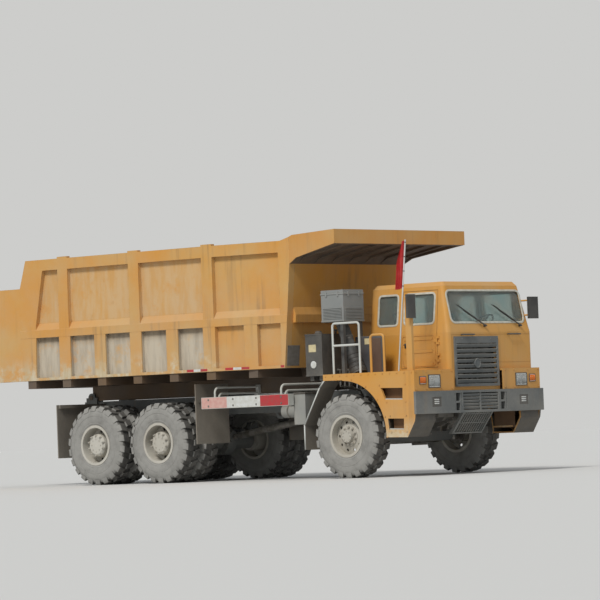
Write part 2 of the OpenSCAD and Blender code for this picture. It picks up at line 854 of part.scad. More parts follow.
module air_cleaner() {
  cx = front_axle_x - 330;
  half = 240;
  y0 = rail_line + 110;
  depth = 500;
  leg = 60;
  low = 2540;
  color(GREY) union() {
    block([cx - half, y0, low], [cx + half, y0 + depth, low + 520]);
    translate([cx - 60, y0 + depth / 2, low + 60]) rotate([0, 158, 0])
      cylinder(r = 100, h = 940, $fn = 48);
    for (y = [y0 + 20, y0 + depth - leg])
      block([cx + 140, y, deck_z], [cx + 140 + leg, y + leg, low + 5]);
  }
}

module oil_tank() {
  x0 = front_axle_x - 905;
  y0 = rail_line + 60;
  z0 = 1680;
  color(BLACK) union() {
    block([x0, y0, z0], [x0 + 360, y0 + 650, z0 + 680]);
    for (x = [x0 + 40, x0 + 240]) {
      block([x, y0 + 50, z0 - 78], [x + 80, -rail_y + rail_w, z0 + 2]);
      block([x, -rail_y, frame_top_z], [x + 80, -rail_y + rail_w, z0 - 76]);
    }
  }
}

module engine() {
  color(STEEL) {
    union() {
      block([front_axle_x - 800, -320, 930], [front_axle_x + 700, 320, 1540]);
      x_bar(front_axle_x - 1500, front_axle_x - 799, 0, 1150, 190, 64);
      for (x = [front_axle_x - 600, front_axle_x + 450])
        block([x, -400, rail_z + rail_t + seat], [x + 120, 400, rail_z + rail_t + 60]);
    }
    block([cab_x1 - 190, grille_mid - 500, frame_top_z + seat], [cab_x1 - 85, grille_mid + 500, 2170]);
  }
}

module muffler() {
  color(GREY) union() {
    x_bar(front_axle_x - 1900, front_axle_x - 900, 700, 1120, 170, 64);
    x_bar(front_axle_x - 901, front_axle_x - 760, 700, 1120, 60, 32);
    y_bar(front_axle_x - 1650, rail_y, 560, 1200, 40);
    y_bar(front_axle_x - 1150, rail_y, 560, 1200, 40);
  }
}

module fuel_tank() {
  color(GREY) union() {
    front_plate(foot_x - 560, foot_x + 360) soft_rect([870, 760], [1420, 1390], 90);
    for (x = [foot_x - 400, foot_x + 150])
      block([x, rail_y, 1180], [x + 60, 875, 1300]);
  }
}

module air_tanks() {
  color(GREY) union() {
    block([front_axle_x - 1250, -1400, 900], [front_axle_x - 1000, -1000, 1420]);
    for (y = [-900, -640]) x_bar(front_axle_x - 1900, front_axle_x - 1050, y, 1130, 110, 48);
    block([front_axle_x - 1700, -1010, 1239], [front_axle_x - 1620, -rail_y, 1290]);
    block([front_axle_x - 1180, -1010, 1239], [front_axle_x - 1100, -rail_y, 1290]);
  }
}

// One hoop of two bent tubes from the frame to the guard board, on the left
module guard_hoop(x, y_board, board_top) {
  reach = 90;
  step = 100;
  hoop_z = board_top + 157;
  for (k = [0, 1]) {
    z = hoop_z - step * k;
    y1 = y_board - reach * k;
    y_bar(x, rail_y + 40, y1 - reach, z, tube_r, 32);
    translate([x, y1 - reach, z - reach]) rotate([0, -90, 0])
      rotate_extrude(angle = 90, $fn = 48) translate([reach, 0]) circle(r = tube_r, $fn = 24);
    z_bar(x, y1, board_top - 50, z - reach, tube_r, 32);
  }
  block([x - 30, rail_y, board_top - 110], [x + 30, rail_y + 60, hoop_z + 33]);
}

module side_guards() {
  y_board = deck_y - 50;
  board_top = 1410;
  board_h = 191;
  x0 = front_axle_x - 3176;
  x1 = front_axle_x - 1215;
  color(PALE) both_sides() union() {
    block([x0, y_board - 110, board_top - board_h], [x1, y_board + 20, board_top]);
    guard_hoop(x0 + 300, y_board, board_top);
    guard_hoop(x1 - 170, y_board, board_top);
  }
}

module mudflaps() {
  flap_x = mid_x + 870;
  color(BLACK) both_sides() union() {
    // Sloping guard behind the front wheel
    translate([front_axle_x, 0, 0]) side_plate(1150, 1540)
      polygon([[-deck_rear - 20, 1655], [-deck_rear, 1655], [-deck_rear, 1600], [-540, 1480],
        [-900, 880], [-900, 480], [-920, 480], [-920, 890], [-560, 1490], [-deck_rear - 20, 1610]]);
    // Liner inside the front half of the arch
    side_plate(1100, deck_y - 50) intersection() {
      translate([front_axle_x, axle_z]) difference() {
        circle(r = arch_r - seat, $fn = 96);
        circle(r = arch_r - 16, $fn = 96);
      }
      polygon([[front_axle_x, axle_z], [front_axle_x + 1200, axle_z + 20],
        [front_axle_x + 1200, axle_z + 1200], [front_axle_x, axle_z + 1200]]);
    }
    block([flap_x, 760, 640], [flap_x + 20, 1560, 1640]);
    block([flap_x - 40, rail_y, 1300], [flap_x, 1540, 1360]);
    block([rear_x - 900, 760, 480], [rear_x - 880, 1600, 1400]);
    block([rear_x - 880, rail_y, 1340], [rear_x - 840, 1560, 1400]);
  }
}

// A driven axle with its tapered housing and differential
module drive_axle(x) {
  y_bar(x, -dual_y - 60, dual_y + 60, axle_z, hub_tube_r);
  translate([x, 0, axle_z]) rotate([90, 0, 0]) cylinder(r = 250, h = 200, center = true, $fn = 64);
  translate([x, 0, axle_z]) rotate([90, 0, 0]) cylinder(r = 150, h = 2 * 640, center = true, $fn = 64);
  x_bar(x - 270, x + 270, 0, axle_z + 60, 75, 48);
  both_sides() block([x - 110, rail_y - rail_w, axle_z], [x + 110, rail_y, axle_z + 190]);
}

module axles() {
  color(DARK) {
    drive_axle(mid_x);
    drive_axle(rear_x);
    // Front beam with the kingpin eyes
    difference() {
      union() {
        block([front_axle_x - 60, -kingpin_y + 150, axle_z - 130],
          [front_axle_x + 60, kingpin_y - 150, axle_z + 20]);
        both_sides() {
          block([front_axle_x - 50, kingpin_y - 200, axle_z - 100],
            [front_axle_x + 50, kingpin_y, axle_z + 50]);
          z_bar(front_axle_x, kingpin_y, axle_z - 60, axle_z + 60, 58, 48);
          block([front_axle_x - 110, rail_y - rail_w, axle_z],
            [front_axle_x + 110, rail_y, axle_z + 60]);
        }
      }
      both_sides() z_bar(front_axle_x, kingpin_y, axle_z - 200, axle_z + 200,
        kingpin_r + fit_gap, 48);
      both_sides() difference() {
        block([front_axle_x - 70, kingpin_y - 75, axle_z - 140],
          [front_axle_x + 70, kingpin_y + 80, axle_z + 140]);
        block([front_axle_x - 90, kingpin_y - 80, axle_z - 60],
          [front_axle_x + 90, kingpin_y + 80, axle_z + 60]);
      }
    }
  }
}

// One steering knuckle with its kingpin, spindle and steering arm, on the left
module knuckle() {
  x = front_axle_x;
  y = kingpin_y;
  z = axle_z;
  color(STEEL) union() {
    z_bar(x, y, z - 115, z + 115, kingpin_r, 48);
    for (low = [z - 115, z + 61]) {
      z_bar(x, y, low, low + 54, 58, 48);
      block([x - 50, y, low], [x + 50, y + 86, low + 54]);
    }
    block([x - 60, y + 64, z - 115], [x + 60, y + 90, z + 115]);
    y_bar(x, y + 89, y + 370, z, spindle_r);
    y_bar(x, y + 80, y + 92, z, 200, 64);
    block([x - 280, y - 30, z - 115], [x - 40, y + 30, z - 80]);
    z_bar(x - 280, y, z - 115, z - 80, 35, 48);
  }
}

module knuckle_right() {
  mirror([0, 1, 0]) knuckle();
}

module knuckle_left() {
  knuckle();
}

module tie_rod() {
  x = front_axle_x - 280;
  z = axle_z - 139 - seat;
  color(STEEL) union() {
    y_bar(x, -kingpin_y + 20, kingpin_y - 20, z, 22);
    both_sides() z_bar(x, kingpin_y, z - 24, z + 24, 32, 48);
  }
}

module leaf_springs() {
  top = axle_z + 60 + seat;
  trunnion_x = (mid_x + rear_x) / 2;
  color(BLACK) both_sides() {
    // Front pack: a stack of flat-bottomed leaves with hangers to the rail
    front_spring(front_axle_x, top, 760);
    bogie_spring(trunnion_x);
  }
}

// A bowed stack of leaves from a revolved ring, on the left
module bowed_leaf(x, z_low, half, rise, t) {
  r = (half * half + rise * rise) / (2 * rise);
  intersection() {
    translate([x, rail_y - 4, z_low + r]) rotate([90, 0, 0]) difference() {
      cylinder(r = r, h = rail_w - 8, $fn = 180);
      translate([0, 0, -1]) cylinder(r = r - t, h = rail_w, $fn = 180);
    }
    block([x - half, 0, z_low - 1], [x + half, rail_y + 10, z_low + rise + t]);
  }
}

module front_spring(x, z, half) {
  t = 18;
  union() {
    for (i = [0:4]) bowed_leaf(x, z + i * (t - 1), half * (0.4 + 0.15 * i), 130 * pow(0.4 + 0.15 * i, 2), t);
    for (e = [-1, 1]) {
      ex = x + e * (half - 40);
      block([ex - 45, rail_y - rail_w + 4, z + 170], [ex + 45, rail_y - 4, rail_z - seat]);
    }
    block([x - 90, rail_y - rail_w + 4, z], [x + 90, rail_y - 4, z + 100]);
  }
}

module bogie_spring(x) {
  half = bogie_pitch / 2 + 60;
  z = axle_z + 190 + seat;
  t = 22;
  union() {
    for (i = [0:4])
      block([x - half + i * 120, rail_y - rail_w + 6, z + i * t],
        [x + half - i * 120, rail_y - 6, z + (i + 1) * t + 1]);
    block([x - 120, rail_y - rail_w + 4, z], [x + 120, rail_y - 4, rail_z - 120 - seat]);
  }
}

module prop_shafts() {
  color(STEEL) {
    shaft([front_axle_x - 1500, 0, 1080], [mid_x + 270, 0, axle_z + 60]);
    shaft([mid_x - 270, 0, axle_z + 60], [rear_x + 270, 0, axle_z + 60]);
  }
}

// A straight shaft with a ball at each end, which meets two upright faces
module shaft(a, b) {
  ball = 50;
  p = a - [ball + seat, 0, 0];
  q = b + [ball + seat, 0, 0];
  d = q - p;
  for (e = [p, q]) translate(e) sphere(r = ball, $fn = 48);
  translate(p) rotate([0, atan2(d[0], d[2]), 0]) {
    cylinder(r = 36, h = norm(d), $fn = 32);
    translate([0, 0, 110]) cylinder(r = 60, h = norm(d) - 220, $fn = 32);
  }
}

// One half of the carcass section between the lugs: distance from the axis and across the tyre
module carcass_half() {
  half = tyre_w / 2;
  bead = rim_w / 2 - 22;
  polygon([[rim_r + seat, -1], [tyre_r - lug_h, -1], [tyre_r - lug_h, half - 66],
    [tyre_r - lug_h - 10, half - 42], [tyre_r - 2 * lug_h, half - 22], [tyre_r - 118, half - 4],
    [rim_r + 180, half], [rim_r + 100, half - 4], [rim_r + rim_edge + 8, bead + 12],
    [rim_r + seat, bead]]);
}

// Section of one lug, which wraps from the crown over the shoulder
module lug_section() {
  half = tyre_w / 2;
  root = tyre_r - lug_h - 26;
  polygon([[root, lug_gap], [tyre_r, lug_gap], [tyre_r, half - 42],
    [tyre_r - lug_h, half - 22], [tyre_r - 90, half - 6], [tyre_r - 100, half - 24], [root, half - 60]]);
}

// One row of lugs on the +Y side of a tyre, turned by part of a pitch
module lug_row(x, y, turn) {
  intersection() {
    turned(x, y) lug_section();
    translate([x, y, axle_z]) for (i = [0:lug_count - 1])
      rotate([0, (i + turn) * 360 / lug_count, 0])
        block([-lug_w / 2, lug_gap - 1, tyre_r - 120], [lug_w / 2, tyre_w, tyre_r + 20]);
  }
}

// A tyre: its carcass with two rows of lugs, half a pitch apart
module tyre(x, y) {
  color(RUBBER) union() {
    turned(x, y) union() {
      carcass_half();
      mirror([0, 1, 0]) carcass_half();
    }
    lug_row(x, y, 0);
    translate([0, 2 * y, 0]) mirror([0, 1, 0]) lug_row(x, y, 0.5);
  }
}

// The barrel of a rim, with its edges
module rim_barrel() {
  half = rim_w / 2;
  polygon([[rim_r - rim_t, -half], [rim_r + rim_edge, -half], [rim_r + rim_edge, -half + 12],
    [rim_r, -half + 20], [rim_r, half - 20], [rim_r + rim_edge, half - 12],
    [rim_r + rim_edge, half], [rim_r - rim_t, half]]);
}

// A front wheel's rim, disc and hub, on the left
module front_rim() {
  hub_x = front_axle_x;
  cap = kingpin_y + 400 - front_wheel_y;
  color(GREY) difference() {
    union() {
      turned(hub_x, front_wheel_y) rim_barrel();
      turned(hub_x, front_wheel_y)
        polygon([[150, 70], [rim_r - rim_t + 2, 20], [rim_r - rim_t + 2, 40], [150, 90]]);
      turned(hub_x, front_wheel_y)
        polygon([[spindle_r + fit_gap, -150], [125, -150], [165, 30], [165, 95], [110, 100],
          [100, cap + 20], [0, cap + 24], [0, cap - 28], [spindle_r + fit_gap, cap - 28]]);
    }
    for (a = [0:36:324])
      translate([hub_x, front_wheel_y - 50, axle_z]) rotate([-90, a, 0])
        translate([235, 0, 0]) cylinder(r = 26, h = 200, $fn = 32);
  }
}

// The two rims and the hub of a pair of twin wheels, on the left
module dual_rims(x) {
  hub_in = 700 - dual_y;
  color(GREY) difference() {
    dual_rim_solid(x, hub_in);
    for (a = [0:36:324]) translate([x, dual_y - 160, axle_z]) rotate([-90, a, 0])
      translate([246, 0, 0]) cylinder(r = 24, h = 150, $fn = 32);
  }
}

// The turned solid of the twin rims, before the hand holes
module dual_rim_solid(x, hub_in) {
  union() {
    for (y = [dual_y, dual_y - dual_pitch]) turned(x, y) rim_barrel();
    turned(x, dual_y)
      polygon([[190, -110], [rim_r - rim_t + 2, -60], [rim_r - rim_t + 2, -40], [190, -90]]);
    turned(x, dual_y - dual_pitch)
      polygon([[190, 110], [rim_r - rim_t + 2, 60], [rim_r - rim_t + 2, 40], [190, 90]]);
    turned(x, dual_y)
      polygon([[hub_tube_r + fit_gap, hub_in], [190, hub_in], [200, 20], [190, 120], [150, 150],
        [0, 156], [0, 80], [hub_tube_r + fit_gap, 80]]);
  }
}

module twin_tyres(x) {
  tyre(x, dual_y);
  tyre(x, dual_y - dual_pitch);
}

module tyre_front_right() {
  mirror([0, 1, 0]) tyre(front_axle_x, front_wheel_y);
}

module tyre_front_left() {
  tyre(front_axle_x, front_wheel_y);
}

module rim_front_right() {
  mirror([0, 1, 0]) front_rim();
}

module rim_front_left() {
  front_rim();
}

module tyres_mid_right() {
  mirror([0, 1, 0]) twin_tyres(mid_x);
}

module tyres_mid_left() {
  twin_tyres(mid_x);
}

module tyres_rear_right() {
  mirror([0, 1, 0]) twin_tyres(rear_x);
}

module tyres_rear_left() {
  twin_tyres(rear_x);
}

module rims_mid_right() {
  mirror([0, 1, 0]) dual_rims(mid_x);
}

module rims_mid_left() {
  dual_rims(mid_x);
}

module rims_rear_right() {
  mirror([0, 1, 0]) dual_rims(rear_x);
}

module rims_rear_left() {
  dual_rims(rear_x);
}

module body_floor() {
  lip = 24;
  color(YELLOW) intersection() {
    side_plate(-inner_y, inner_y)
      polygon([[tail_x, body_z + tail_rise], [post_x, body_z], [head_x(body_z) - head_t, body_z],
        [head_x(body_z + floor_t) - head_t, body_z + floor_t], [post_x, body_z + floor_t],
        [tail_x, body_z + tail_rise + floor_t]]);
    linear_extrude(beyond) polygon([[tail_x - lip, inner_y], [fold_x, inner_y],
      [head_top_x, half_in(head_top_x)], [head_top_x, -half_in(head_top_x)],
      [fold_x, -inner_y], [tail_x - lip, -inner_y]]);
  }
}

// Half width of the body over its posts at a place along it
function half_y(x) = x < fold_x ? body_y : body_y - (x - fold_x) * turn_slope;

// Place of the headboard's front face at a height
function head_x(z) = side_end + (head_top_x - side_end) * (z - body_z) / (head_z - body_z);

// Plan of one side between two depths from the outer face, on the left
module side_strip(near, far) {
  linear_extrude(beyond) polygon([[tail_x, body_y - near], [fold_x, body_y - near],
    [head_top_x, half_y(head_top_x) - near], [head_top_x, half_y(head_top_x) - far],
    [fold_x, body_y - far], [tail_x, body_y - far]]);
}

// Outline of a body side in X and Z
module side_outline() {
  tail_top = side_top - 480;
  polygon([[tail_x, body_z], [side_end, body_z], [head_top_x, head_z],
    [head_top_x, canopy_root_z(head_top_x)], [head_top_x - 180, side_top],
    [post_x + 200, side_top], [post_x + 40, tail_top], [tail_x, tail_top]]);
}

// Height of the canopy's top edge near its root
function canopy_root_z(x) = side_top + (x - head_top_x + 180) * 80 / 269;

// The raised parts of a body side: ribs, posts, rails
module side_frame_outline() {
  rail_top = 190;
  rib_over = 26;
  low = body_z - 10;
  tall = side_h + 200;
  for (i = [1:2:5])
    translate([rib_x0 + i * rib_pitch - rib_w / 2 + 15, beam_z + 2])
      square([rib_w - 30, side_top - beam_z + rib_over]);
  intersection() {
    side_outline();
    union() {
      for (i = [0:rib_n - 1])
        translate([rib_x0 + i * rib_pitch - rib_w / 2, low]) square([rib_w, beam_up + 30]);
      polygon([[tail_x - 10, low], [post_x + 380, low], [post_x + 410, beam_z + 200],
        [post_x + 660, side_top + 40], [tail_x - 10, side_top + 40]]);
      translate([tail_x - 10, low]) square([side_end + 500 - tail_x, 58]);
      translate([post_x + 300, side_top - rail_top]) square([beyond, rail_top + 200]);
      translate([side_end - 60, low]) square([400, tall]);
    }
  }
}

// The sloping-topped beam along a body side, which stands a little proud of the ribs, on the left
module side_beam() {
  inner = recess + 5;
  turn = atan(turn_slope);
  lap = 20;
  profile = [[-inner, 0], [beam_proud, 0], [beam_proud, beam_h], [-inner, beam_h + beam_slope]];
  turned_profile = [for (p = profile) [p[0] * cos(turn), p[1]]];
  translate([post_x + lap, body_y, beam_z]) rotate([90, 0, 90])
    linear_extrude(fold_x - post_x - 1.5 * lap) polygon(profile);
  intersection() {
    translate([fold_x, body_y, beam_z]) rotate([0, 0, -turn]) translate([-5 * lap, 0, 0])
      rotate([90, 0, 90]) linear_extrude(2400) polygon(turned_profile);
    block([fold_x - lap, 0, 0], [head_top_x + 500, body_y + 100, beyond]);
    side_plate(0, body_y + 100) side_outline();
  }
}

module body_side() {
  color(YELLOW) union() {
    intersection() {
      side_strip(recess, recess + panel_t);
      side_plate(1000, body_y + 1) side_outline();
    }
    intersection() {
      side_strip(0, recess + 1);
      side_plate(1000, body_y + 1) side_frame_outline();
    }
    side_beam();
  }
}

module body_side_right() {
  mirror([0, 1, 0]) body_side();
}

module body_side_left() {
  body_side();
}

module headboard() {
  t = head_t;
  out = 60;
  w0 = half_y(side_end) - recess - panel_t - 2;
  color(YELLOW) union() {
    intersection() {
      side_plate(-body_y, body_y) polygon([[head_x(body_z) - t, body_z],
        [head_x(body_z), body_z], [head_x(head_z), head_z], [head_x(head_z) - t, head_z]]);
      linear_extrude(beyond) polygon([[side_end - 200, half_in(side_end - 200)],
        [head_top_x + 10, half_in(head_top_x + 10)], [head_top_x + 10, -half_in(head_top_x + 10)],
        [side_end - 200, -half_in(side_end - 200)]]);
    }
    side_plate(-w0 + 20, w0 - 20) polygon([[head_x(beam_z) - 10, beam_z],
      [head_x(beam_z) + out, beam_z], [head_x(beam_z + beam_h) + out, beam_z + beam_h],
      [head_x(beam_z + beam_h + beam_slope), beam_z + beam_h + beam_slope],
      [head_x(beam_z + beam_h) - 10, beam_z + beam_h]]);
  }
}

// Half of the load space's width at a place along the body
function half_in(x) = half_y(x) - recess - panel_t;

// Half of the canopy's width at a place along it
function canopy_half(x) = half_y(head_top_x)
  + (canopy_y - half_y(head_top_x)) * (x - head_top_x) / (canopy_x - head_top_x);

// The canopy's side outline in X and Z
module canopy_outline() {
  polygon([[head_top_x, head_z], [head_top_x + 173, head_z + 90],
    [canopy_x, canopy_z - canopy_h], [canopy_x, canopy_z], [head_top_x + 89, canopy_root_z(head_top_x + 89)],
    [head_top_x, canopy_root_z(head_top_x)]]);
}

// The canopy's plan, drawn in by d
module canopy_plan(d) {
  linear_extrude(beyond) polygon([[head_top_x, canopy_half(head_top_x) - d],
    [canopy_x, canopy_y - d], [canopy_x, -canopy_y + d], [head_top_x, -canopy_half(head_top_x) + d]]);
}

module canopy() {
  lip = 45;
  rise = 36;
  t = 50;
  color(YELLOW) union() {
    // Side walls and front wall
    intersection() {
      difference() {
        canopy_plan(0);
        intersection() {
          canopy_plan(lip);
          block([0, -beyond, 0], [canopy_x - 2 * lip, beyond, beyond]);
        }
      }
      side_plate(-canopy_y - 1, canopy_y + 1) canopy_outline();
    }
    // Plate that closes the canopy, above its ribs
    intersection() {
      canopy_plan(lip - 2);
      side_plate(-canopy_y, canopy_y) polygon([[head_top_x - 70, head_z], [head_top_x, head_z],
        [head_top_x + 173, head_z + 90 + rise], [canopy_x - lip, canopy_z - canopy_h + rise],
        [canopy_x - lip, canopy_z - canopy_h + rise + t], [head_top_x + 150, head_z + 90 + rise + t],
        [head_top_x, head_z + 80], [head_top_x - 70, head_z + 80]]);
    }
    // Ribs below the plate
    for (i = [-3:3])
      side_plate(i * 420 - 20, i * 420 + 20) polygon([[head_top_x + 20, head_z + 12],
        [head_top_x + 173, head_z + 92], [canopy_x - lip, canopy_z - canopy_h + 2],
        [canopy_x - lip, canopy_z - canopy_h + rise + 5], [head_top_x + 173, head_z + 90 + rise + 5],
        [head_top_x + 20, head_z + 30]]);
  }
}

module body_sills() {
  boss_r = pivot_z - frame_top_z - 8;
  color(YELLOW) union() {
    for (i = [0:rib_n - 1])
      block([rib_x0 + i * rib_pitch - 100, -half_y(rib_x0 + i * rib_pitch + 100) + 20, sill_z],
        [rib_x0 + i * rib_pitch + 100, half_y(rib_x0 + i * rib_pitch + 100) - 20, body_z]);
    both_sides() {
      block([pivot_x, runner_y - runner_w / 2, runner_z],
        [side_end - 120, runner_y + runner_w / 2, body_z]);
      block([rib_x0 - 100, runner_y - runner_w / 2, sill_z],
        [pivot_x + 10, runner_y + runner_w / 2, body_z]);
      y_bar(pivot_x, runner_y - runner_w / 2, runner_y + runner_w / 2, pivot_z, boss_r);
      y_bar(pivot_x, rail_y - rail_w - 40, rail_y + 44, pivot_z, hinge_r);
      side_plate(hoist_y + 78, hoist_y + 104) difference() {
        translate([eye_x - 200, eye_z - 110]) square([400, sill_z - eye_z + 140]);
        translate([eye_x, eye_z]) circle(r = 42, $fn = 48);
      }
    }
    for (x = [eye_x - 200, eye_x + 120])
      block([x, -runner_y, sill_z + 20], [x + 80, runner_y, body_z]);
  }
}

// A shape drawn along a hoist, from its foot towards its eye
module along_hoist() {
  translate([foot_x, 0, foot_z]) rotate([0, -90 + hoist_rise, 0]) children();
}

module hoist_barrels() {
  foot_r = barrel_r / 2;
  color(BLACK) difference() {
    union() {
      along_hoist() for (y = [-hoist_y, hoist_y]) translate([0, y, 0])
        cylinder(r = barrel_r, h = barrel_len, $fn = 64);
      y_bar(foot_x, -hoist_y - barrel_r - 4, hoist_y + barrel_r + 4, foot_z, foot_r + 15);
      y_bar(foot_x, -rail_y + rail_w + 4, rail_y - rail_w - 4, foot_z, foot_r);
    }
    along_hoist() for (y = [-hoist_y, hoist_y]) translate([0, y, barrel_len - 1440])
      cylinder(r = rod_r + fit_gap, h = 1500, $fn = 64);
  }
}

module hoist_rods() {
  color(STEEL) union() {
    along_hoist() for (y = [-hoist_y, hoist_y]) translate([0, y, barrel_len - 1420])
      cylinder(r = rod_r, h = hoist_len - barrel_len + 1420 - 20, $fn = 64);
    for (y = [-hoist_y, hoist_y]) y_bar(eye_x, y - 60, y + 60, eye_z, 72);
    y_bar(eye_x, -hoist_y - 66, hoist_y + 66, eye_z, 40);
  }
}

chassis_frame();
front_bumper();
fender_right();
fender_left();
lamps();
cab_floor();
cab_front();
cab_rear();
cab_roof();
cab_side_right();
cab_side_left();
cab_glass();
grille();
dashboard();
cab_seats();
wipers_and_mirrors();
handrails();
pipe_rails();
flag();
air_cleaner();
oil_tank();
engine();
muffler();
fuel_tank();
air_tanks();
side_guards();
mudflaps();
axles();
leaf_springs();
prop_shafts();
door_right();
door_glass_right();
door_left();
door_glass_left();
knuckle_right();
knuckle_left();
tie_rod();
tyre_front_right();
rim_front_right();
tyre_front_left();
rim_front_left();
tyres_mid_right();
rims_mid_right();
tyres_mid_left();
rims_mid_left();
tyres_rear_right();
rims_rear_right();
tyres_rear_left();
rims_rear_left();
body_floor();
body_side_right();
body_side_left();
headboard();
canopy();
body_sills();
hoist_barrels();
hoist_rods();
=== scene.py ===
# %% [markdown]
# # A wide-body mining dump truck
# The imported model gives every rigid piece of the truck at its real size. This lesson dresses
# it: it sets the camera, the light and the finishes, and then adds the small pieces that a
# solid model leaves out, such as nuts, tread blocks, seals, cloth and reflective tape.
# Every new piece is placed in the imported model's frame, on the piece that carries it.

# %% Load the frame
import json
import math

import bmesh
import bpy
from mathutils import Matrix, Vector


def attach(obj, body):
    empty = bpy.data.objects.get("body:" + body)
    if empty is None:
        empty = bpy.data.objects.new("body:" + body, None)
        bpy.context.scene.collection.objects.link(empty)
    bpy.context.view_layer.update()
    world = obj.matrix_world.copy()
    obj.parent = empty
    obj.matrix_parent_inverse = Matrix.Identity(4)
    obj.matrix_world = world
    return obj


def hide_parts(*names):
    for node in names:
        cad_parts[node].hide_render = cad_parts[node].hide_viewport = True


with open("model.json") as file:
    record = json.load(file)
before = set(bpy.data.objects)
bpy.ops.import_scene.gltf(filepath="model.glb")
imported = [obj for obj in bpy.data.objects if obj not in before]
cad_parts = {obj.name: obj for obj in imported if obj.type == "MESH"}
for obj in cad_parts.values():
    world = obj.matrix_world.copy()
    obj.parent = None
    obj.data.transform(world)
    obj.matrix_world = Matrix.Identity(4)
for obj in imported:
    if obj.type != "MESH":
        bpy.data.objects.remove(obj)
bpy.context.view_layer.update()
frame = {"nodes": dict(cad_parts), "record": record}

nodes = frame["nodes"]

# %% [markdown]
# ## Objects and meshes
# In Blender an object holds a place in the scene, and its data holds the shape, the lamp or
# the camera. Shapes are modelled in a bmesh, an editing space that is turned into a mesh when
# it is ready and is then freed, so both steps become short helpers.

# %% Scene helpers
def add_object(name, data):
    """Makes an object of some data and links it into the scene."""
    made = bpy.data.objects.new(name, data)
    bpy.context.scene.collection.objects.link(made)
    return made


def take_mesh(shape, name):
    """Makes a mesh of a bmesh, and frees the bmesh."""
    mesh = bpy.data.meshes.new(name)
    shape.to_mesh(mesh)
    shape.free()
    return mesh


# %% [markdown]
# ## The camera
# The photo was taken with a long lens from low down and far off, so its lines hardly
# converge. A camera matrix is built from three angles and a distance: the first column
# points right, the second up, and the third back from the aim towards the camera.

# %% Camera
CAMERA_AZIMUTH = math.radians(41.904)
CAMERA_ELEVATION = math.radians(-1.926)
CAMERA_ROLL = math.radians(-2.21)
CAMERA_DISTANCE = 64.844
CAMERA_AIM = Vector((1.0995, -0.1664, 2.9912))
CAMERA_LENS, SENSOR_WIDTH = 231.57, 36


def make_camera():
    back = Vector((math.sin(CAMERA_AZIMUTH) * math.cos(CAMERA_ELEVATION),
                   -math.cos(CAMERA_AZIMUTH) * math.cos(CAMERA_ELEVATION),
                   math.sin(CAMERA_ELEVATION)))
    level = Vector((math.cos(CAMERA_AZIMUTH), math.sin(CAMERA_AZIMUTH), 0))
    upright = back.cross(level)
    right = level * math.cos(CAMERA_ROLL) + upright * math.sin(CAMERA_ROLL)
    up = back.cross(right)
    data = bpy.data.cameras.new("camera")
    data.sensor_width = SENSOR_WIDTH
    data.lens = CAMERA_LENS
    data.clip_end = 1000
    camera = add_object("camera", data)
    matrix = Matrix((right, up, back)).transposed().to_4x4()
    matrix.translation = CAMERA_AIM + back * CAMERA_DISTANCE
    camera.matrix_world = matrix
    bpy.context.scene.camera = camera
    return camera


camera = make_camera()
print("camera at", tuple(round(v, 2) for v in camera.matrix_world.translation))

# %% [markdown]
# ## Light and floor
# The photo was taken under a bright, hazy sky: the truck's side is lit, its front is in
# soft shade and the shadows have wide edges. One sun lamp with a large disc and an even
# world do that. The strengths are chosen so that a lit colour renders about as written.

# %% Light, world and floor
SKY = (0.610, 0.610, 0.597, 1)
HAZE, HAZE_STRENGTH = (0.92, 0.96, 1.0, 1), 0.50
SUN_COLOUR, SUN_STRENGTH = (1.0, 0.97, 0.92), 2.25
SUN_DISC = math.radians(14)
SUN_FROM = Vector((0.22, -0.78, 0.86))
FLOOR_COLOUR, FLOOR_RADIUS = (0.62, 0.62, 0.61, 1), 260


def make_light():
    data = bpy.data.lights.new("hazy_sun", "SUN")
    data.energy = SUN_STRENGTH
    data.angle = SUN_DISC
    data.color = SUN_COLOUR
    lamp = add_object("hazy_sun", data)
    lamp.rotation_mode = "QUATERNION"
    lamp.rotation_quaternion = SUN_FROM.to_track_quat("Z", "Y")


def make_world():
    """Haze that lights the truck, and a plainer sky that is seen, also in glass and gloss."""
    world = bpy.data.worlds.new("haze")
    world.use_nodes = True
    tree = world.node_tree
    background = tree.nodes["Background"]
    background.inputs["Color"].default_value = HAZE
    background.inputs["Strength"].default_value = HAZE_STRENGTH
    shown = tree.nodes.new("ShaderNodeBackground")
    shown.inputs["Color"].default_value = SKY
    paths = tree.nodes.new("ShaderNodeLightPath").outputs
    seen = paths["Is Camera Ray"]
    for ray in ("Is Glossy Ray", "Is Transmission Ray"):
        either = tree.nodes.new("ShaderNodeMath")
        either.operation = "MAXIMUM"
        tree.links.new(seen, either.inputs[0])
        tree.links.new(paths[ray], either.inputs[1])
        seen = either.outputs[0]
    mix = tree.nodes.new("ShaderNodeMixShader")
    for index, socket in enumerate((seen, background.outputs[0], shown.outputs[0])):
        tree.links.new(socket, mix.inputs[index])
    tree.links.new(mix.outputs[0], tree.nodes["World Output"].inputs["Surface"])
    bpy.context.scene.world = world


def make_floor():
    shape = bmesh.new()
    bmesh.ops.create_circle(shape, cap_ends=True, segments=96, radius=FLOOR_RADIUS)
    floor = add_object("floor", take_mesh(shape, "floor"))
    material = bpy.data.materials.new("floor")
    material.use_nodes = True
    surface = material.node_tree.nodes["Principled BSDF"]
    surface.inputs["Base Color"].default_value = FLOOR_COLOUR
    surface.inputs["Roughness"].default_value = 0.95
    surface.inputs["Specular IOR Level"].default_value = 0.1
    floor.data.materials.append(material)


make_light()
make_world()
make_floor()
bpy.context.scene.view_settings.view_transform = "Standard"
print("sun, haze and floor are set")

# %% [markdown]
# ## Shader helpers
# A material is a small tree of nodes. A Value stands for one output in such a tree, and a
# plain sum with it adds the node that does the sum. The other helpers add a node with its
# options and inputs, make a soft step, blend two colours and read a cloudy noise. An input
# that is given a Value is linked to it, and any other input is simply set.

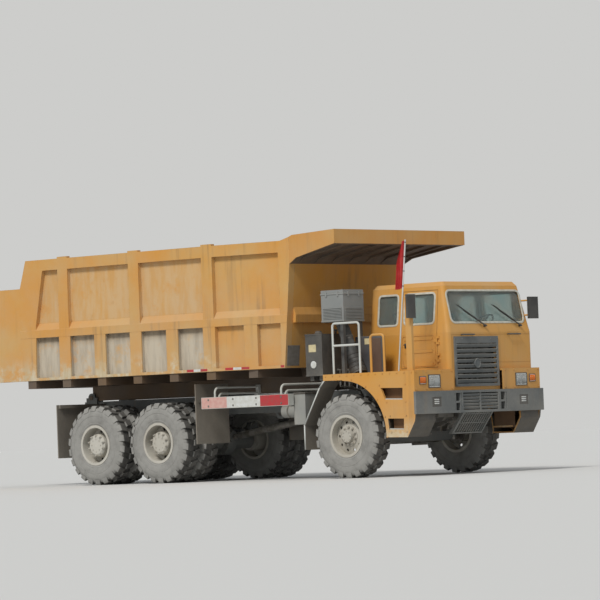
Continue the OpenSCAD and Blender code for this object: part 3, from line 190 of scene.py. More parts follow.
# %% Shader helpers
class Value:
    """An output in a shader tree, with which one can do sums as with a number."""

    def __init__(self, socket):
        self.socket, self.tree = socket, socket.id_data

    def __add__(self, other):
        return math_node("ADD", self, other)

    def __sub__(self, other):
        return math_node("SUBTRACT", self, other)

    def __rsub__(self, other):
        return math_node("SUBTRACT", other, self)

    def __mul__(self, other):
        return math_node("MULTIPLY", self, other)

    def __abs__(self):
        return math_node("ABSOLUTE", self)

    def clamped(self):
        """Keeps the sum that made this value between 0 and 1."""
        self.socket.node.use_clamp = True
        return self


def tone(red, green, blue):
    """A colour given as it looks on screen, 0 to 255, in the linear values that shaders use."""
    return tuple(((c / 255 + 0.055) / 1.055) ** 2.4 for c in (red, green, blue)) + (1,)


def feed(socket, value):
    """Links a Value to an input, or sets the input. A colour is given as it looks on screen."""
    if isinstance(value, Value):
        value.tree.links.new(value.socket, socket)
    else:
        socket.default_value = tone(*value) if socket.type == "RGBA" else value


def shader(tree, kind, options=None, *values, **named):
    """Adds a node and feeds its inputs. Its outputs are asked for by name or number."""
    made = tree.nodes.new("ShaderNode" + kind)
    for name, value in (options or {}).items():
        setattr(made, name, value)
    for index, value in enumerate(values):
        feed(made.inputs[index], value)
    for name, value in named.items():
        feed(made.inputs[name.replace("_", " ")], value)
    return lambda output: Value(made.outputs[output])


def math_node(operation, first, second=0.0):
    tree = (first if isinstance(first, Value) else second).tree
    return shader(tree, "Math", {"operation": operation}, first, second)(0)


def between(value, low, high):
    """A soft step: 0 where value is at low, 1 where it is at high."""
    return shader(value.tree, "MapRange", {"interpolation_type": "SMOOTHSTEP"}, Value=value,
                  From_Min=low, From_Max=high)("Result")


def mixed(mask, first, second):
    """A blend: the first colour where the mask is 0, the second where it is 1."""
    made = mask.tree.nodes.new("ShaderNodeMix")
    made.data_type = "RGBA"
    for index, value in ((0, mask), (6, first), (7, second)):
        feed(made.inputs[index], value)
    return Value(made.outputs[2])


def cloud(place, scale, detail=4.0, roughness=0.55):
    return shader(place.tree, "TexNoise", Vector=place, Scale=scale, Detail=detail,
                  Roughness=roughness)("Fac")


def stretched(place, x, y, z):
    return shader(place.tree, "Mapping", Vector=place, Scale=(x, y, z))(0)


def split(vector):
    """The parts of a vector, asked for by the name of the axis."""
    return shader(vector.tree, "SeparateXYZ", Vector=vector)


# %% [markdown]
# ## Wear, dust and stains as shared groups
# Every surface of a quarry truck carries the same story: pale stone dust settles on ledges
# and low down, paint wears through along the edges, and rain draws stains down the walls.
# Each effect is a node group with named inputs, built once and given its own strength in
# each material. All of them read Object coordinates, so they stay with the piece.

# %% Group helpers
def new_group(name, takes, gives):
    tree = bpy.data.node_groups.new(name, "ShaderNodeTree")
    for label, kind, value in takes:
        socket = tree.interface.new_socket(label, in_out="INPUT", socket_type="NodeSocket" + kind)
        socket.default_value = value
    for label, kind in gives:
        tree.interface.new_socket(label, in_out="OUTPUT", socket_type="NodeSocket" + kind)
    inside = tree.nodes.new("NodeGroupInput").outputs
    outside = tree.nodes.new("NodeGroupOutput").inputs
    return tree, lambda label: Value(inside[label]), outside


def use_group(tree, group, **inputs):
    return shader(tree, "Group", {"node_tree": group}, **inputs)


# %% [markdown]
# ## Stone dust
# Dust lies on what faces up, and it gathers near the ground. The mask adds these two, lets a
# broad noise drift it from place to place, and breaks its edge into specks with a fine one.

# %% Stone dust
DUST = (178, 172, 160)


def make_dust():
    tree, takes, gives = new_group(
        "stone_dust",
        [("Colour", "Color", (0.5, 0.5, 0.5, 1)), ("Amount", "Float", 0.5),
         ("Low", "Float", 0.3), ("High", "Float", 2.2)],
        [("Colour", "Color"), ("Mask", "Float")])
    where = shader(tree, "TexCoord")
    ledges = between(split(where("Normal"))("Z"), 0.25, 0.95)
    low = between(split(where("Object"))("Z"), takes("High"), takes("Low"))
    drift = cloud(where("Object"), 1.4, 6.0, 0.62)
    speck = cloud(where("Object"), 24.0, 5.0, 0.7)
    layer = ledges * 0.75 + low * 0.5 + 0.22 + (drift - 0.45) * 1.5
    mask = (layer * takes("Amount") * (speck * 0.7 + 0.65)).clamped()
    feed(gives["Mask"], mask)
    feed(gives["Colour"], mixed(mask, takes("Colour"), DUST))
    return tree


STONE_DUST = make_dust()
print("group:", STONE_DUST.name)

# %% [markdown]
# ## Worn edges
# Paint goes first where steel is rubbed, along its edges. The Bevel node gives the normal that
# a rounded edge would have, and an edge is where that normal turns away from the true one.
# This needs no extra geometry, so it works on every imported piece.

# %% Worn edges
def make_wear():
    tree, takes, gives = new_group(
        "edge_wear", [("Width", "Float", 0.012), ("Amount", "Float", 0.5)], [("Mask", "Float")])
    rounded = shader(tree, "Bevel", {"samples": 4}, Radius=takes("Width"))(0)
    facing = shader(tree, "NewGeometry")("Normal")
    match = shader(tree, "VectorMath", {"operation": "DOT_PRODUCT"}, rounded, facing)("Value")
    scuff = between(cloud(shader(tree, "TexCoord")("Object"), 7.0, 8.0, 0.72), 0.44, 0.60)
    feed(gives["Mask"], (between(match, 0.985, 0.80) * scuff * takes("Amount")).clamped())
    return tree


EDGE_WEAR = make_wear()
print("group:", EDGE_WEAR.name)

# %% [markdown]
# ## Rain stains
# Water runs straight down a wall and leaves long narrow trails. A noise that is stretched
# along Z draws them on upright faces only, and a broad noise keeps parts of the wall clean.

# %% Rain stains
def make_stains():
    tree, takes, gives = new_group("rain_stains", [("Amount", "Float", 0.4)], [("Mask", "Float")])
    where = shader(tree, "TexCoord")
    upright = between(abs(split(where("Normal"))("Z")), 0.7, 0.2)
    trails = between(cloud(stretched(where("Object"), 9.0, 9.0, 0.5), 1.0, 5.0, 0.6), 0.5, 0.72)
    patch = between(cloud(where("Object"), 0.8, 2.0), 0.35, 0.65)
    feed(gives["Mask"], (trails * patch * upright * takes("Amount")).clamped())
    return tree


RAIN_STAINS = make_stains()
print("group:", RAIN_STAINS.name)

# %% [markdown]
# ## Surface grain
# No sheet or casting is quite even. The group gives a height for the bump, with fine grain
# and broad dents, and a slow variation that makes the gloss uneven.

# %% Surface grain
def make_grain():
    tree, takes, gives = new_group(
        "surface_grain", [("Fine", "Float", 90.0), ("Dents", "Float", 0.0)],
        [("Height", "Float"), ("Variation", "Float")])
    place = shader(tree, "TexCoord")("Object")
    fine, broad = cloud(place, takes("Fine"), 3.0), cloud(place, 2.6, 2.0, 0.4)
    feed(gives["Height"], fine * 0.03 + broad * takes("Dents"))
    feed(gives["Variation"], cloud(place, 5.0, 5.0, 0.65))
    return tree


SURFACE_GRAIN = make_grain()
print("group:", SURFACE_GRAIN.name)

# %% [markdown]
# ## Cloth weave
# Woven cloth is a grid of warp and weft threads. The product of two sine waves rises and
# falls like that grid. The group is given its coordinates, so that the flag's threads follow
# the flat cloth into its folds.

# %% Cloth weave
def make_weave():
    tree, takes, gives = new_group(
        "cloth_weave", [("Vector", "Vector", (0, 0, 0)), ("Threads", "Float", 300.0)],
        [("Height", "Float"), ("Mask", "Float")])
    axes = split(takes("Vector"))
    warp, weft = [math_node("SINE", axes(axis) * takes("Threads")) for axis in "XY"]
    height = warp * weft
    feed(gives["Height"], height)
    feed(gives["Mask"], between(height, -1.0, 1.0))
    return tree


CLOTH_WEAVE = make_weave()
print("group:", CLOTH_WEAVE.name)

# %% [markdown]
# ## Paint
# Paint is built in the order in which it aged: the colour, its sun-faded patches, stains,
# dirt and painted shade laid on by masks, chips down to the metal and last the dust on top.
# Dust also makes the gloss dull, so its mask drives the roughness too. One maker with a few
# strengths gives every painted finish.

# %% Paint maker
BARE_STEEL = (96, 86, 78)
STAIN = (112, 86, 58)


def new_material(name):
    """A material, its tree, the inputs of its surface, and its coordinates."""
    material = bpy.data.materials.new(name)
    material.use_nodes = True
    tree = material.node_tree
    return material, tree, tree.nodes["Principled BSDF"].inputs, shader(tree, "TexCoord")


def bump_from(height, distance, strength):
    return shader(height.tree, "Bump", Height=height, Distance=distance, Strength=strength)(0)


def grained(tree, surface, fine, dents=0.0, distance=0.02, strength=0.5):
    """Gives the surface its grain. Returns how the grain varies, which drives the gloss."""
    grain = use_group(tree, SURFACE_GRAIN, Fine=fine, Dents=dents)
    feed(surface["Normal"], bump_from(grain("Height"), distance, strength))
    return grain("Variation")


def painted(name, colour, faded, dust=0.3, wear=0.6, stains=0.3, gloss=0.4, dents=0.0,
            low=0.3, high=2.2, layers=(), streaks=(0.7, 2.0, 5.0), chip=BARE_STEEL):
    """A painted finish. layers are pairs of a mask maker and the two tones that it lays on."""
    material, tree, surface, place = new_material(name)
    base = mixed(between(cloud(place("Object"), 0.9, 5.0), 0.35, 0.68), colour, faded)
    base = mixed(use_group(tree, RAIN_STAINS, Amount=stains)("Mask"), base, STAIN)
    streaky = between(cloud(stretched(place("Object"), *streaks), 2.0, 6.0, 0.65), 0.35, 0.62)
    for mask_maker, tones in layers:
        base = mixed(mask_maker(place), base, mixed(streaky, *tones))
    chips = use_group(tree, EDGE_WEAR, Width=0.014, Amount=wear)("Mask")
    dusty = use_group(tree, STONE_DUST, Colour=mixed(chips, base, chip), Amount=dust, Low=low,
                      High=high)
    feed(surface["Base Color"], dusty("Colour"))
    rough = grained(tree, surface, 70.0, dents) * 0.25 + (0.78 - gloss) + dusty("Mask") * 0.5
    feed(surface["Roughness"], rough.clamped())
    feed(surface["Specular IOR Level"], 0.35)
    return material


# %% [markdown]
# ## Where the dump body and the fenders are worn, and where shade is painted
# The load space is scoured to bare plate by rock, and the low panels between the side ribs
# are caked with pale dust, while ribs and beams keep their paint. Other masks paint shade: a
# shadow band under the beam, the undersides of the canopy and the floor, and the front faces
# of the step boxes. Each mask is read from the direction a face looks in and from its place
# on the truck, so no picture is needed.

# %% Masks for dirt, wear and painted shade
PANEL_FACE = 1.575
RIB_FACE = 1.65
TURN_START = 0.455
BODY_TURN = 0.1276
CANOPY_FRONT = 3.225
CANOPY_TURN = -0.1754
CANOPY_SIDE = 1.088
BEAM_LOW = 2.577
BEAM_HIGH = 2.83


def looks(place, axis, start, full):
    """The faces that look along an axis, from none at start to all of it at full."""
    return between(split(place("Normal"))(axis), start, full)


def patches(place, scale, low, high):
    return between(cloud(place("Object"), scale, 6.0, 0.7), low, high)


def looks_inward(place):
    return between(split(place("Object"))("Y") * split(place("Normal"))("Y"), 0.0, -0.5)


def looks_back(place):
    return looks(place, "X", -0.3, -0.8)


def looks_up(place):
    return looks(place, "Z", 0.3, 0.8)


def looks_down(place):
    return looks(place, "Z", -0.3, -0.7)


def panels(place, low, high):
    """The panels between the side ribs, over a span of heights, in patches."""
    axes = split(place("Object"))
    deep = between(abs(axes("Y")), RIB_FACE - 0.012, RIB_FACE - 0.03)
    rear = between(axes("X"), TURN_START + 0.1, TURN_START - 0.4)
    below = between(axes("Z"), high + 0.02, high - 0.02)
    above = between(axes("Z"), low - 0.02, low + 0.02)
    return deep * rear * below * above * patches(place, 2.2, 0.30, 0.50)


def low_panels(place):
    return panels(place, 1.86, BEAM_LOW)


def high_panels(place):
    return panels(place, BEAM_HIGH, 3.74)


# Painted shadow: a darker band on the panels just below the beam, where its shadow falls.
def beam_shadow(place):
    height = split(place("Object"))("Z")
    return panels(place, 2.36, BEAM_LOW) * between(height, BEAM_LOW - 0.20, BEAM_LOW - 0.02)


def rib_feet(place):
    axes = split(place("Object"))
    foot = between(axes("Z"), 2.30, 1.90)
    outside = between(abs(axes("Y")), 1.40, 1.45)
    rear = between(axes("X"), TURN_START + 0.3, TURN_START - 0.2)
    return foot * outside * rear * patches(place, 4.0, 0.42, 0.62)


def under_canopy(place):
    """All that lies within the canopy's rim and doesn't look up, so its ribs too. It is given
    painted shade.
    """
    axes = split(place("Object"))
    depth = CANOPY_SIDE - axes("X") * CANOPY_TURN - abs(axes("Y"))
    behind = between(axes("X"), CANOPY_FRONT - 0.008, CANOPY_FRONT - 0.012)
    return looks(place, "Z", 0.6, 0.4) * between(depth, 0.008, 0.012) * behind


# Painted shade: the low front faces of the step boxes are laid dark, as the shade inside open
# boxes.
def step_box_front(place):
    return between(split(place("Object"))("Z"), 1.02, 0.98) * looks(place, "X", 0.3, 0.6)


def hem_dust(place):
    low = between(split(place("Object"))("Z"), 1.00, 0.60)
    side = between(abs(split(place("Normal"))("Y")), 0.4, 0.8)
    return low * side * patches(place, 5.0, 0.40, 0.60)


def below_cleaner(place):
    return between(split(place("Object"))("Z"), 2.545, 2.535)


SCOURED = ((110, 101, 91), (148, 139, 124))
CAKED = ((168, 156, 138), (192, 180, 160))
BEIGE = ((200, 150, 78), (202, 164, 112))
# Painted shadow: the tones of the band below the beam.
SHADED = ((112, 94, 72), (150, 132, 106))
# Painted shade: the dark brown of the canopy's underside and of the floor's downward faces.
UNDERSIDE_SHADE = ((60, 46, 36), (84, 64, 46))
# Painted shade: the dark tones of the step boxes' front faces.
BOX_FRONT_SHADE = ((46, 45, 44), (64, 58, 50))
PALE_DIRT = ((190, 170, 130), (204, 190, 160))
DARK_LEGS = ((58, 60, 62), (72, 74, 74))

# %% [markdown]
# ## The painted finishes
# The truck is one yellow with different lives: glossy on the cab, matt and scraped on the
# dump body, and dull grey or black on the steelwork. The dust heights follow the photo:
# wheels and chassis are deep in it and the canopy is nearly clean.

# %% Painted finishes
OCHRE, SUN_FADED, BODY_FADED = (204, 143, 54), (199, 149, 76), (198, 156, 90)
HARD_LIFE = dict(wear=0.8, stains=0.5, gloss=0.2, dents=0.35, low=1.4, high=4.6)
PAINTS = {
    "cab_paint": painted("cab_yellow", OCHRE, SUN_FADED, dust=0.2, wear=0.3, gloss=0.42),
    "body_paint": painted("body_yellow", OCHRE, BODY_FADED, dust=0.34, **HARD_LIFE),
    "dark_paint": painted("chassis_grey", (70, 79, 84), (84, 90, 94), dust=0.4, wear=0.8,
                          gloss=0.25, chip=(150, 150, 146)),
    "black_paint": painted("satin_black", (38, 39, 41), (54, 55, 56), dust=0.38, wear=0.4),
    "pale_paint": painted("rail_white", (204, 208, 206), (186, 188, 182), gloss=0.35),
    "rim_paint": painted("rim_grey", (194, 192, 184), (172, 168, 158), dust=0.4, wear=0.7,
                         gloss=0.25, high=1.2),
    "grey_metal": painted("tank_grey", (128, 132, 132), (146, 148, 144), dust=0.38, gloss=0.3),
}
BODY_PANELS = painted("body_side_yellow", OCHRE, BODY_FADED, streaks=(4.0, 2.0, 0.7),
                      layers=[(rib_feet, PALE_DIRT), (high_panels, BEIGE), (low_panels, CAKED),
                              (beam_shadow, SHADED), (looks_inward, SCOURED)], **HARD_LIFE)
BODY_BED = painted("bed_plate", OCHRE, SUN_FADED, dust=0.5, dents=0.5,
                   layers=[(looks_up, SCOURED), (looks_down, UNDERSIDE_SHADE)])
BODY_HEAD = painted("headboard_yellow", OCHRE, SUN_FADED, dust=0.28, wear=0.7, gloss=0.2,
                    dents=0.3, layers=[(looks_back, SCOURED)])
BODY_CANOPY = painted("canopy_yellow", (200, 136, 44), SUN_FADED, dust=0.2, wear=0.8,
                      gloss=0.25, dents=0.3, low=3.0, high=5.0, layers=[(under_canopy, UNDERSIDE_SHADE)])
# The sills are a darker brown than the body above them.
BODY_SILLS = painted("sill_dark_brown", (92, 80, 70), (104, 82, 58), dust=0.12, wear=0.3,
                     stains=0.2, gloss=0.15)
FENDERS = painted("fender_yellow", OCHRE, SUN_FADED, dust=0.2, wear=0.3,
                  layers=[(hem_dust, PALE_DIRT), (step_box_front, BOX_FRONT_SHADE)])
CLEANER = painted("air_cleaner_grey", (124, 128, 128), (142, 144, 142), gloss=0.3,
                  layers=[(below_cleaner, DARK_LEGS)])
FLAPS = painted("dusty_flap", (98, 92, 84), (114, 106, 96), dust=0.35, wear=0.2, gloss=0.15)
# Painted shade: the cabinet's dark grey and its door's dark brown stand in for the shade beside
# the cab.
CABINET = painted("cabinet_grey", (66, 68, 74), (78, 76, 76), dust=0.2, wear=0.5, gloss=0.25)
CABINET_DOOR = painted("cabinet_door_shade", (86, 64, 54), (98, 76, 60), dust=0.12, wear=0.4,
                       gloss=0.2)
# Painted shade: a dark brown-orange for the insides of the footholds.
BOX_INSIDE_SHADE = painted("box_inside_shade", (96, 66, 38), (120, 84, 48), dust=0.15, wear=0.2, gloss=0.15)
print(len(bpy.data.materials), "painted finishes and the floor")

# %% [markdown]
# ## Rubber, steel, glass, plastic and cloth
# Rubber on this truck hardly shows black: pale dust covers the side walls and sits in the
# grooves, and the worn edges of the lugs are darker. Glass is clear with a grey-green tint
# under a film of dust, steel is oily, and woven cloth has its threads in the bump.

# %% Other finishes
def make_rubber():
    material, tree, surface, place = new_material("dusty_rubber")
    side = between(abs(split(place("Normal"))("Y")), 0.25, 0.75)
    drift = between(cloud(place("Object"), 5.0, 6.0, 0.65), 0.25, 0.65)
    base = mixed(drift, (74, 73, 71), (104, 102, 98))
    base = mixed(side * (drift * 0.35 + 0.6), base, (151, 150, 146))
    rubbed = use_group(tree, EDGE_WEAR, Width=0.012, Amount=0.6)("Mask")
    feed(surface["Base Color"], mixed(rubbed, base, (62, 60, 58)))
    feed(surface["Roughness"], 0.93)
    feed(surface["Specular IOR Level"], 0.2)
    grained(tree, surface, 120.0, 0.1, 0.02, 0.4)
    return material


def make_steel():
    material, tree, surface, place = new_material("oily_steel")
    grease = between(cloud(place("Object"), 6.0, 6.0, 0.6), 0.40, 0.62)
    dusty = use_group(tree, STONE_DUST, Colour=mixed(grease, (128, 126, 122), (60, 56, 52)),
                      Amount=0.4, Low=0.3, High=2.0)
    feed(surface["Base Color"], dusty("Colour"))
    feed(surface["Roughness"], grease * 0.3 + 0.35)
    feed(surface["Metallic"], (0.8 - dusty("Mask")).clamped())
    grained(tree, surface, 200.0, 0.0, 0.01, 0.3)
    return material


def make_plastic():
    material, tree, surface, place = new_material("black_moulding")
    base = mixed(cloud(place("Object"), 8.0), (26, 26, 27), (46, 46, 47))
    dusty = use_group(tree, STONE_DUST, Colour=base, Amount=0.22, Low=0.5, High=3.0)
    feed(surface["Base Color"], dusty("Colour"))
    feed(surface["Roughness"], grained(tree, surface, 260.0, 0.0, 0.01, 0.4) * 0.3 + 0.4)
    return material


def clear(name, colour, filmed, scale, matt, rough, passes, bends):
    """Glass or clear plastic under a patchy film of dust, which is duller than the clean part."""
    material, tree, surface, place = new_material(name)
    film = between(cloud(place("Object"), scale, 6.0, 0.65), 0.35, 0.75)
    feed(surface["Base Color"], mixed(film, colour, filmed))
    feed(surface["Roughness"], film * matt + rough)
    feed(surface["Transmission Weight"], passes)
    feed(surface["IOR"], bends)
    return material


def make_cloth(name, colour, worn, threads, mapping):
    """A woven cloth, whose threads follow the Object or the UV coordinates."""
    material, tree, surface, place = new_material(name)
    weave = use_group(tree, CLOTH_WEAVE, Vector=place(mapping), Threads=threads)
    base = mixed(between(cloud(place("Object"), 6.0, 5.0, 0.6), 0.35, 0.7), colour, worn)
    feed(surface["Base Color"], mixed(weave("Mask") * 0.25, base, (20, 18, 18)))
    feed(surface["Roughness"], 0.9)
    feed(surface["Sheen Weight"], 0.25)
    feed(surface["Normal"], bump_from(weave("Height"), 0.002, 0.5))
    return material


def plain(name, colour, second, rough, metal=0.0):
    """A small part's finish: two near tones in a cloud, with a fine grain."""
    material, tree, surface, place = new_material(name)
    clouded = between(cloud(place("Object"), 14.0), 0.3, 0.7)
    feed(surface["Base Color"], mixed(clouded, colour, second))
    feed(surface["Metallic"], metal)
    feed(surface["Roughness"], grained(tree, surface, 150.0, 0.0, 0.005, 0.25) * 0.2 + rough)
    return material


RUBBER, STEEL, MOULDING = make_rubber(), make_steel(), make_plastic()
GLASS = clear("cab_glass", (186, 206, 204), (206, 208, 200), 2.5, 0.22, 0.03, 0.85, 1.3)
LENS = clear("clear_lens", (232, 236, 236), (204, 202, 194), 9.0, 0.2, 0.05, 0.6, 1.45)
SEAT_CLOTH = make_cloth("seat_weave", (44, 45, 50), (66, 66, 70), 900.0, "Object")
FLAG_CLOTH = make_cloth("faded_red_cloth", (214, 30, 34), (222, 66, 62), 700.0, "UV")
GASKET = plain("pale_rubber_seal", (200, 198, 186), (178, 174, 160), 0.7)
MIRROR = plain("mirror_silver", (206, 210, 212), (190, 194, 196), 0.02, metal=1.0)
BRIGHT = plain("lamp_reflector", (214, 216, 214), (190, 192, 190), 0.12, metal=0.9)
AMBER = plain("amber_lens", (222, 120, 30), (206, 104, 24), 0.15)
RED = plain("red_lens", (176, 28, 24), (150, 22, 20), 0.15)
TAPE_RED = plain("red_reflective_tape", (178, 46, 52), (160, 62, 62), 0.35)
TAPE_FADED = plain("faded_reflective_tape", (196, 146, 138), (204, 168, 158), 0.4)
TAPE_WHITE = plain("white_reflective_tape", (206, 208, 206), (190, 190, 184), 0.35)
BLANK_PLATE = plain("blank_cream_plate", (206, 192, 150), (190, 178, 140), 0.45)
GREY_PLATE = plain("blank_grey_plate", (128, 124, 118), (116, 110, 102), 0.5)
print(len(bpy.data.materials), "materials")

# %% [markdown]
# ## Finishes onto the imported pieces
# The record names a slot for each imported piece, and each slot has its finish here. Some
# pieces are exceptions, mostly of the dump body and the fenders, because their faces have
# worn differently.

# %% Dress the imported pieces
SLOTS = dict(PAINTS, lamp_lens=BRIGHT, glass=GLASS, black_plastic=MOULDING, seat_fabric=SEAT_CLOTH,
             flag_cloth=FLAG_CLOTH, bare_steel=STEEL, tyre=RUBBER)
OWN_FINISH = {"body_side_right": BODY_PANELS, "body_side_left": BODY_PANELS,
              "body_floor": BODY_BED, "headboard": BODY_HEAD, "canopy": BODY_CANOPY,
              "body_sills": BODY_SILLS, "fender_right": FENDERS, "fender_left": FENDERS,
              "air_cleaner": CLEANER, "mudflaps": FLAPS}
slot_of = {row["node"]: row["material_slot"] for row in frame["record"]["subparts"]}
for name, piece in nodes.items():
    piece.data.materials.clear()
    piece.data.materials.append(OWN_FINISH.get(name, SLOTS[slot_of[name]]))
print("dressed", len(slot_of), "packed pieces")

# %% [markdown]
# ## Making pieces
# Each new piece is shaped in one bmesh, from operator shapes that are moved, turned and
# bevelled in place. When it is done, its faces are turned outwards, and it rides on the
# body that carries it and takes the finish of its material slot, unless it is given one of
# its own.

# %% Piece helpers
made_pieces = []
SIDES = ((-1, "right"), (1, "left"))


def finish_piece(shape, name, slot, material=None, body="chassis", smooth=False):
    """Makes an object of the shape, rides it on its body and gives it its own material or its
    slot's finish.
    """
    bmesh.ops.recalc_face_normals(shape, faces=shape.faces)
    mesh = take_mesh(shape, name)
    mesh.polygons.foreach_set("use_smooth", [smooth] * len(mesh.polygons))
    mesh.materials.append(material or SLOTS[slot])
    piece = add_object(name, mesh)
    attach(piece, body)
    made_pieces.append(piece)
    return piece


def soften(shape, verts, width, segments=2):
    edges = list({edge for vert in verts for edge in vert.link_edges})
    bmesh.ops.bevel(shape, geom=edges, offset=width, affect="EDGES", segments=segments,
                    profile=0.5, material=-1, clamp_overlap=True)


def add_block(shape, low, high, round_by=0.0, turn=None):
    """A box between two corners, with softened edges, and turned if a matrix is given."""
    low, high = Vector(low), Vector(high)
    size = high - low
    place = Matrix.Translation((low + high) / 2) @ (turn or Matrix.Identity(4))
    place = place @ Matrix.Diagonal((*size, 1))
    verts = bmesh.ops.create_cube(shape, size=1, matrix=place)["verts"]
    if round_by:
        soften(shape, verts, round_by)


def add_side_block(shape, side, low, high, round_by=0.0):
    """A block that is given for the left, on either side of the truck."""
    y0, y1 = sorted((side * low[1], side * high[1]))
    add_block(shape, (low[0], y0, low[2]), (high[0], y1, high[2]), round_by)


def add_rod(shape, start, end, radius, sides=16, end_radius=None):
    """A round bar or cone from one point to another."""
    start, end = Vector(start), Vector(end)
    along = end - start
    place = Matrix.Translation((start + end) / 2)
    place = place @ along.to_track_quat("Z", "Y").to_matrix().to_4x4()
    bmesh.ops.create_cone(shape, cap_ends=True, segments=sides, radius1=radius,
                          radius2=radius if end_radius is None else end_radius,
                          depth=along.length, matrix=place)


def add_turned(shape, profile, centre, axis, steps=64):
    """A closed profile of (distance along the axis, radius) points, spun all the way round."""
    axis = Vector(axis)
    turn = axis.to_track_quat("X", "Z").to_matrix()
    verts = [shape.verts.new(Vector(centre) + turn @ Vector((along, 0, radius)))
             for along, radius in profile]
    edges = [shape.edges.new(pair) for pair in zip(verts, verts[1:] + verts[:1])]
    bmesh.ops.spin(shape, geom=verts + edges, cent=centre, axis=axis, angle=math.tau,
                   steps=steps, use_merge=True, use_duplicate=False)


def only_points(geometry):
    return [part for part in geometry if isinstance(part, bmesh.types.BMVert)]


def pull_out(shape, ring, way):
    """Fills a ring of points with a face, and pulls it out into a solid."""
    pulled = bmesh.ops.extrude_face_region(shape, geom=[shape.faces.new(ring)])["geom"]
    bmesh.ops.translate(shape, vec=way, verts=only_points(pulled))


def copies_round(shape, points, centre, axis, count):
    """Copies of what hangs on the points, evenly round an axis. They are the first one."""
    geometry = (points + list({edge for vert in points for edge in vert.link_edges})
                + list({face for vert in points for face in vert.link_faces}))
    for index in range(1, count):
        fresh = bmesh.ops.duplicate(shape, geom=geometry)["geom"]
        turn = Matrix.Rotation(math.tau * index / count, 3, axis)
        bmesh.ops.rotate(shape, cent=centre, matrix=turn, verts=only_points(fresh))


# %% [markdown]
# ## Tyres
# A quarry tyre is a stout carcass with deep lugs in two staggered rows that wrap over the
# shoulders. The carcass is one section spun round the axle. One lug is drawn as a flat
# section, pulled out along the tread, bevelled, and then copied round the wheel. The tyre
# keeps the radius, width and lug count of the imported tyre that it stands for.

# %% Tyres
TYRE_RADIUS = 0.68
TYRE_HALF = 0.1875
LUG_DEPTH = 0.034
LUG_COUNT = 22
LUG_WIDTH = 0.118
LUG_CLEARANCE = 0.0006
BEAD_RADIUS = 0.3185
WHEEL_HEIGHT = 0.68
FRONT_X, MID_X, REAR_X = 3.235, -0.965, -2.465
DRIVEN = (("mid", MID_X), ("rear", REAR_X))
FRONT_Y, DUAL_Y, DUAL_PITCH = 1.385, 1.41, 0.44


def tyre_profile():
    base = TYRE_RADIUS - LUG_DEPTH
    half = [(0.0, base), (0.121, base), (0.145, base - 0.010), (0.165, 0.612), (0.1795, 0.575),
            (0.1850, 0.552), (TYRE_HALF, 0.520), (TYRE_HALF, 0.505), (0.1840, 0.500),
            (0.1840, 0.492), (0.1868, 0.487), (0.1860, 0.440), (0.1810, 0.402), (0.1775, 0.396),
            (0.1775, 0.386), (0.1790, 0.378), (0.1690, 0.354), (0.153, BEAD_RADIUS)]
    return [(-y, r) for y, r in reversed(half[1:])] + half


def add_lug_row(shape, centre, side, phase):
    """One row of lugs: a section across the tread and over the shoulder, pulled along it."""
    top = math.sqrt((TYRE_RADIUS - LUG_CLEARANCE) ** 2 - (LUG_WIDTH / 2) ** 2)
    section = [(0.014, 0.636), (0.014, top), (0.1455, top), (0.1660, 0.646), (0.1820, 0.592),
               (0.1800, 0.584), (0.1650, 0.592), (0.1400, 0.625)]
    before = set(shape.verts)
    ring = [shape.verts.new(centre + Vector((-LUG_WIDTH / 2, side * y, r))) for y, r in section]
    pull_out(shape, ring, (LUG_WIDTH, 0, 0))
    lug = [vert for vert in shape.verts if vert not in before]
    for vert in lug:  # A slant along the tread, and more width towards the shoulder
        across = abs(vert.co.y - centre.y)
        vert.co.x += 0.30 * (0.09 - across)
        vert.co.x = centre.x + (vert.co.x - centre.x) * (0.80 + 1.1 * min(across, 0.18))
    bmesh.ops.recalc_face_normals(shape, faces=list({f for v in lug for f in v.link_faces}))
    soften(shape, lug, 0.005, 1)
    lug = [vert for vert in shape.verts if vert not in before]
    bmesh.ops.rotate(shape, cent=centre, matrix=Matrix.Rotation(phase, 3, "Y"), verts=lug)
    copies_round(shape, lug, centre, "Y", LUG_COUNT)


def add_tyre(shape, x, y):
    centre = Vector((x, y, WHEEL_HEIGHT))
    add_turned(shape, tyre_profile(), centre, (0, 1, 0), 72)
    for row in (1, -1):
        outer = row * y > 0
        add_lug_row(shape, centre, row, 0.0 if outer else math.pi / LUG_COUNT)


def make_tyres(name, body, x, middles):
    shape = bmesh.new()
    for y in middles:
        add_tyre(shape, x, y)
    piece = finish_piece(shape, name + "_lugged", "tyre", body=body)
    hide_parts(name)
    return len(piece.data.polygons)


faces = 0
for side, word in SIDES:
    faces += make_tyres("tyre_front_" + word, "wheel_front_" + word, FRONT_X, [side * FRONT_Y])
    for axle, x in DRIVEN:
        faces += make_tyres(f"tyres_{axle}_{word}", f"wheels_{axle}_{word}", x,
                            [side * DUAL_Y, side * (DUAL_Y - DUAL_PITCH)])
print("tyres:", faces, "faces")

# %% [markdown]
# ## Wheel nuts
# Each rim is held by ten nuts on long studs, and the hub cover by small bolts. A nut is a
# six-sided cone shape with a washer below it, copied round the hub.

# %% Wheel nuts
def add_nuts(shape, centre, out, radius, count, nut=0.017, tall=0.026, stud=0.018, phase=0.0):
    """Nuts on studs in a circle. out is the direction that they point in, along Y."""
    before = set(shape.verts)
    foot = centre + Vector((radius, 0, 0))
    up = Vector((0, out, 0))
    add_rod(shape, foot - up * 0.004, foot + up * 0.005, nut * 1.35, 16)
    add_rod(shape, foot + up * 0.004, foot + up * tall, nut, 6)
    add_rod(shape, foot, foot + up * (tall + stud), nut * 0.55, 10)
    fresh = [vert for vert in shape.verts if vert not in before]
    bmesh.ops.rotate(shape, cent=centre, matrix=Matrix.Rotation(phase, 3, "Y"), verts=fresh)
    copies_round(shape, fresh, centre, "Y", count)


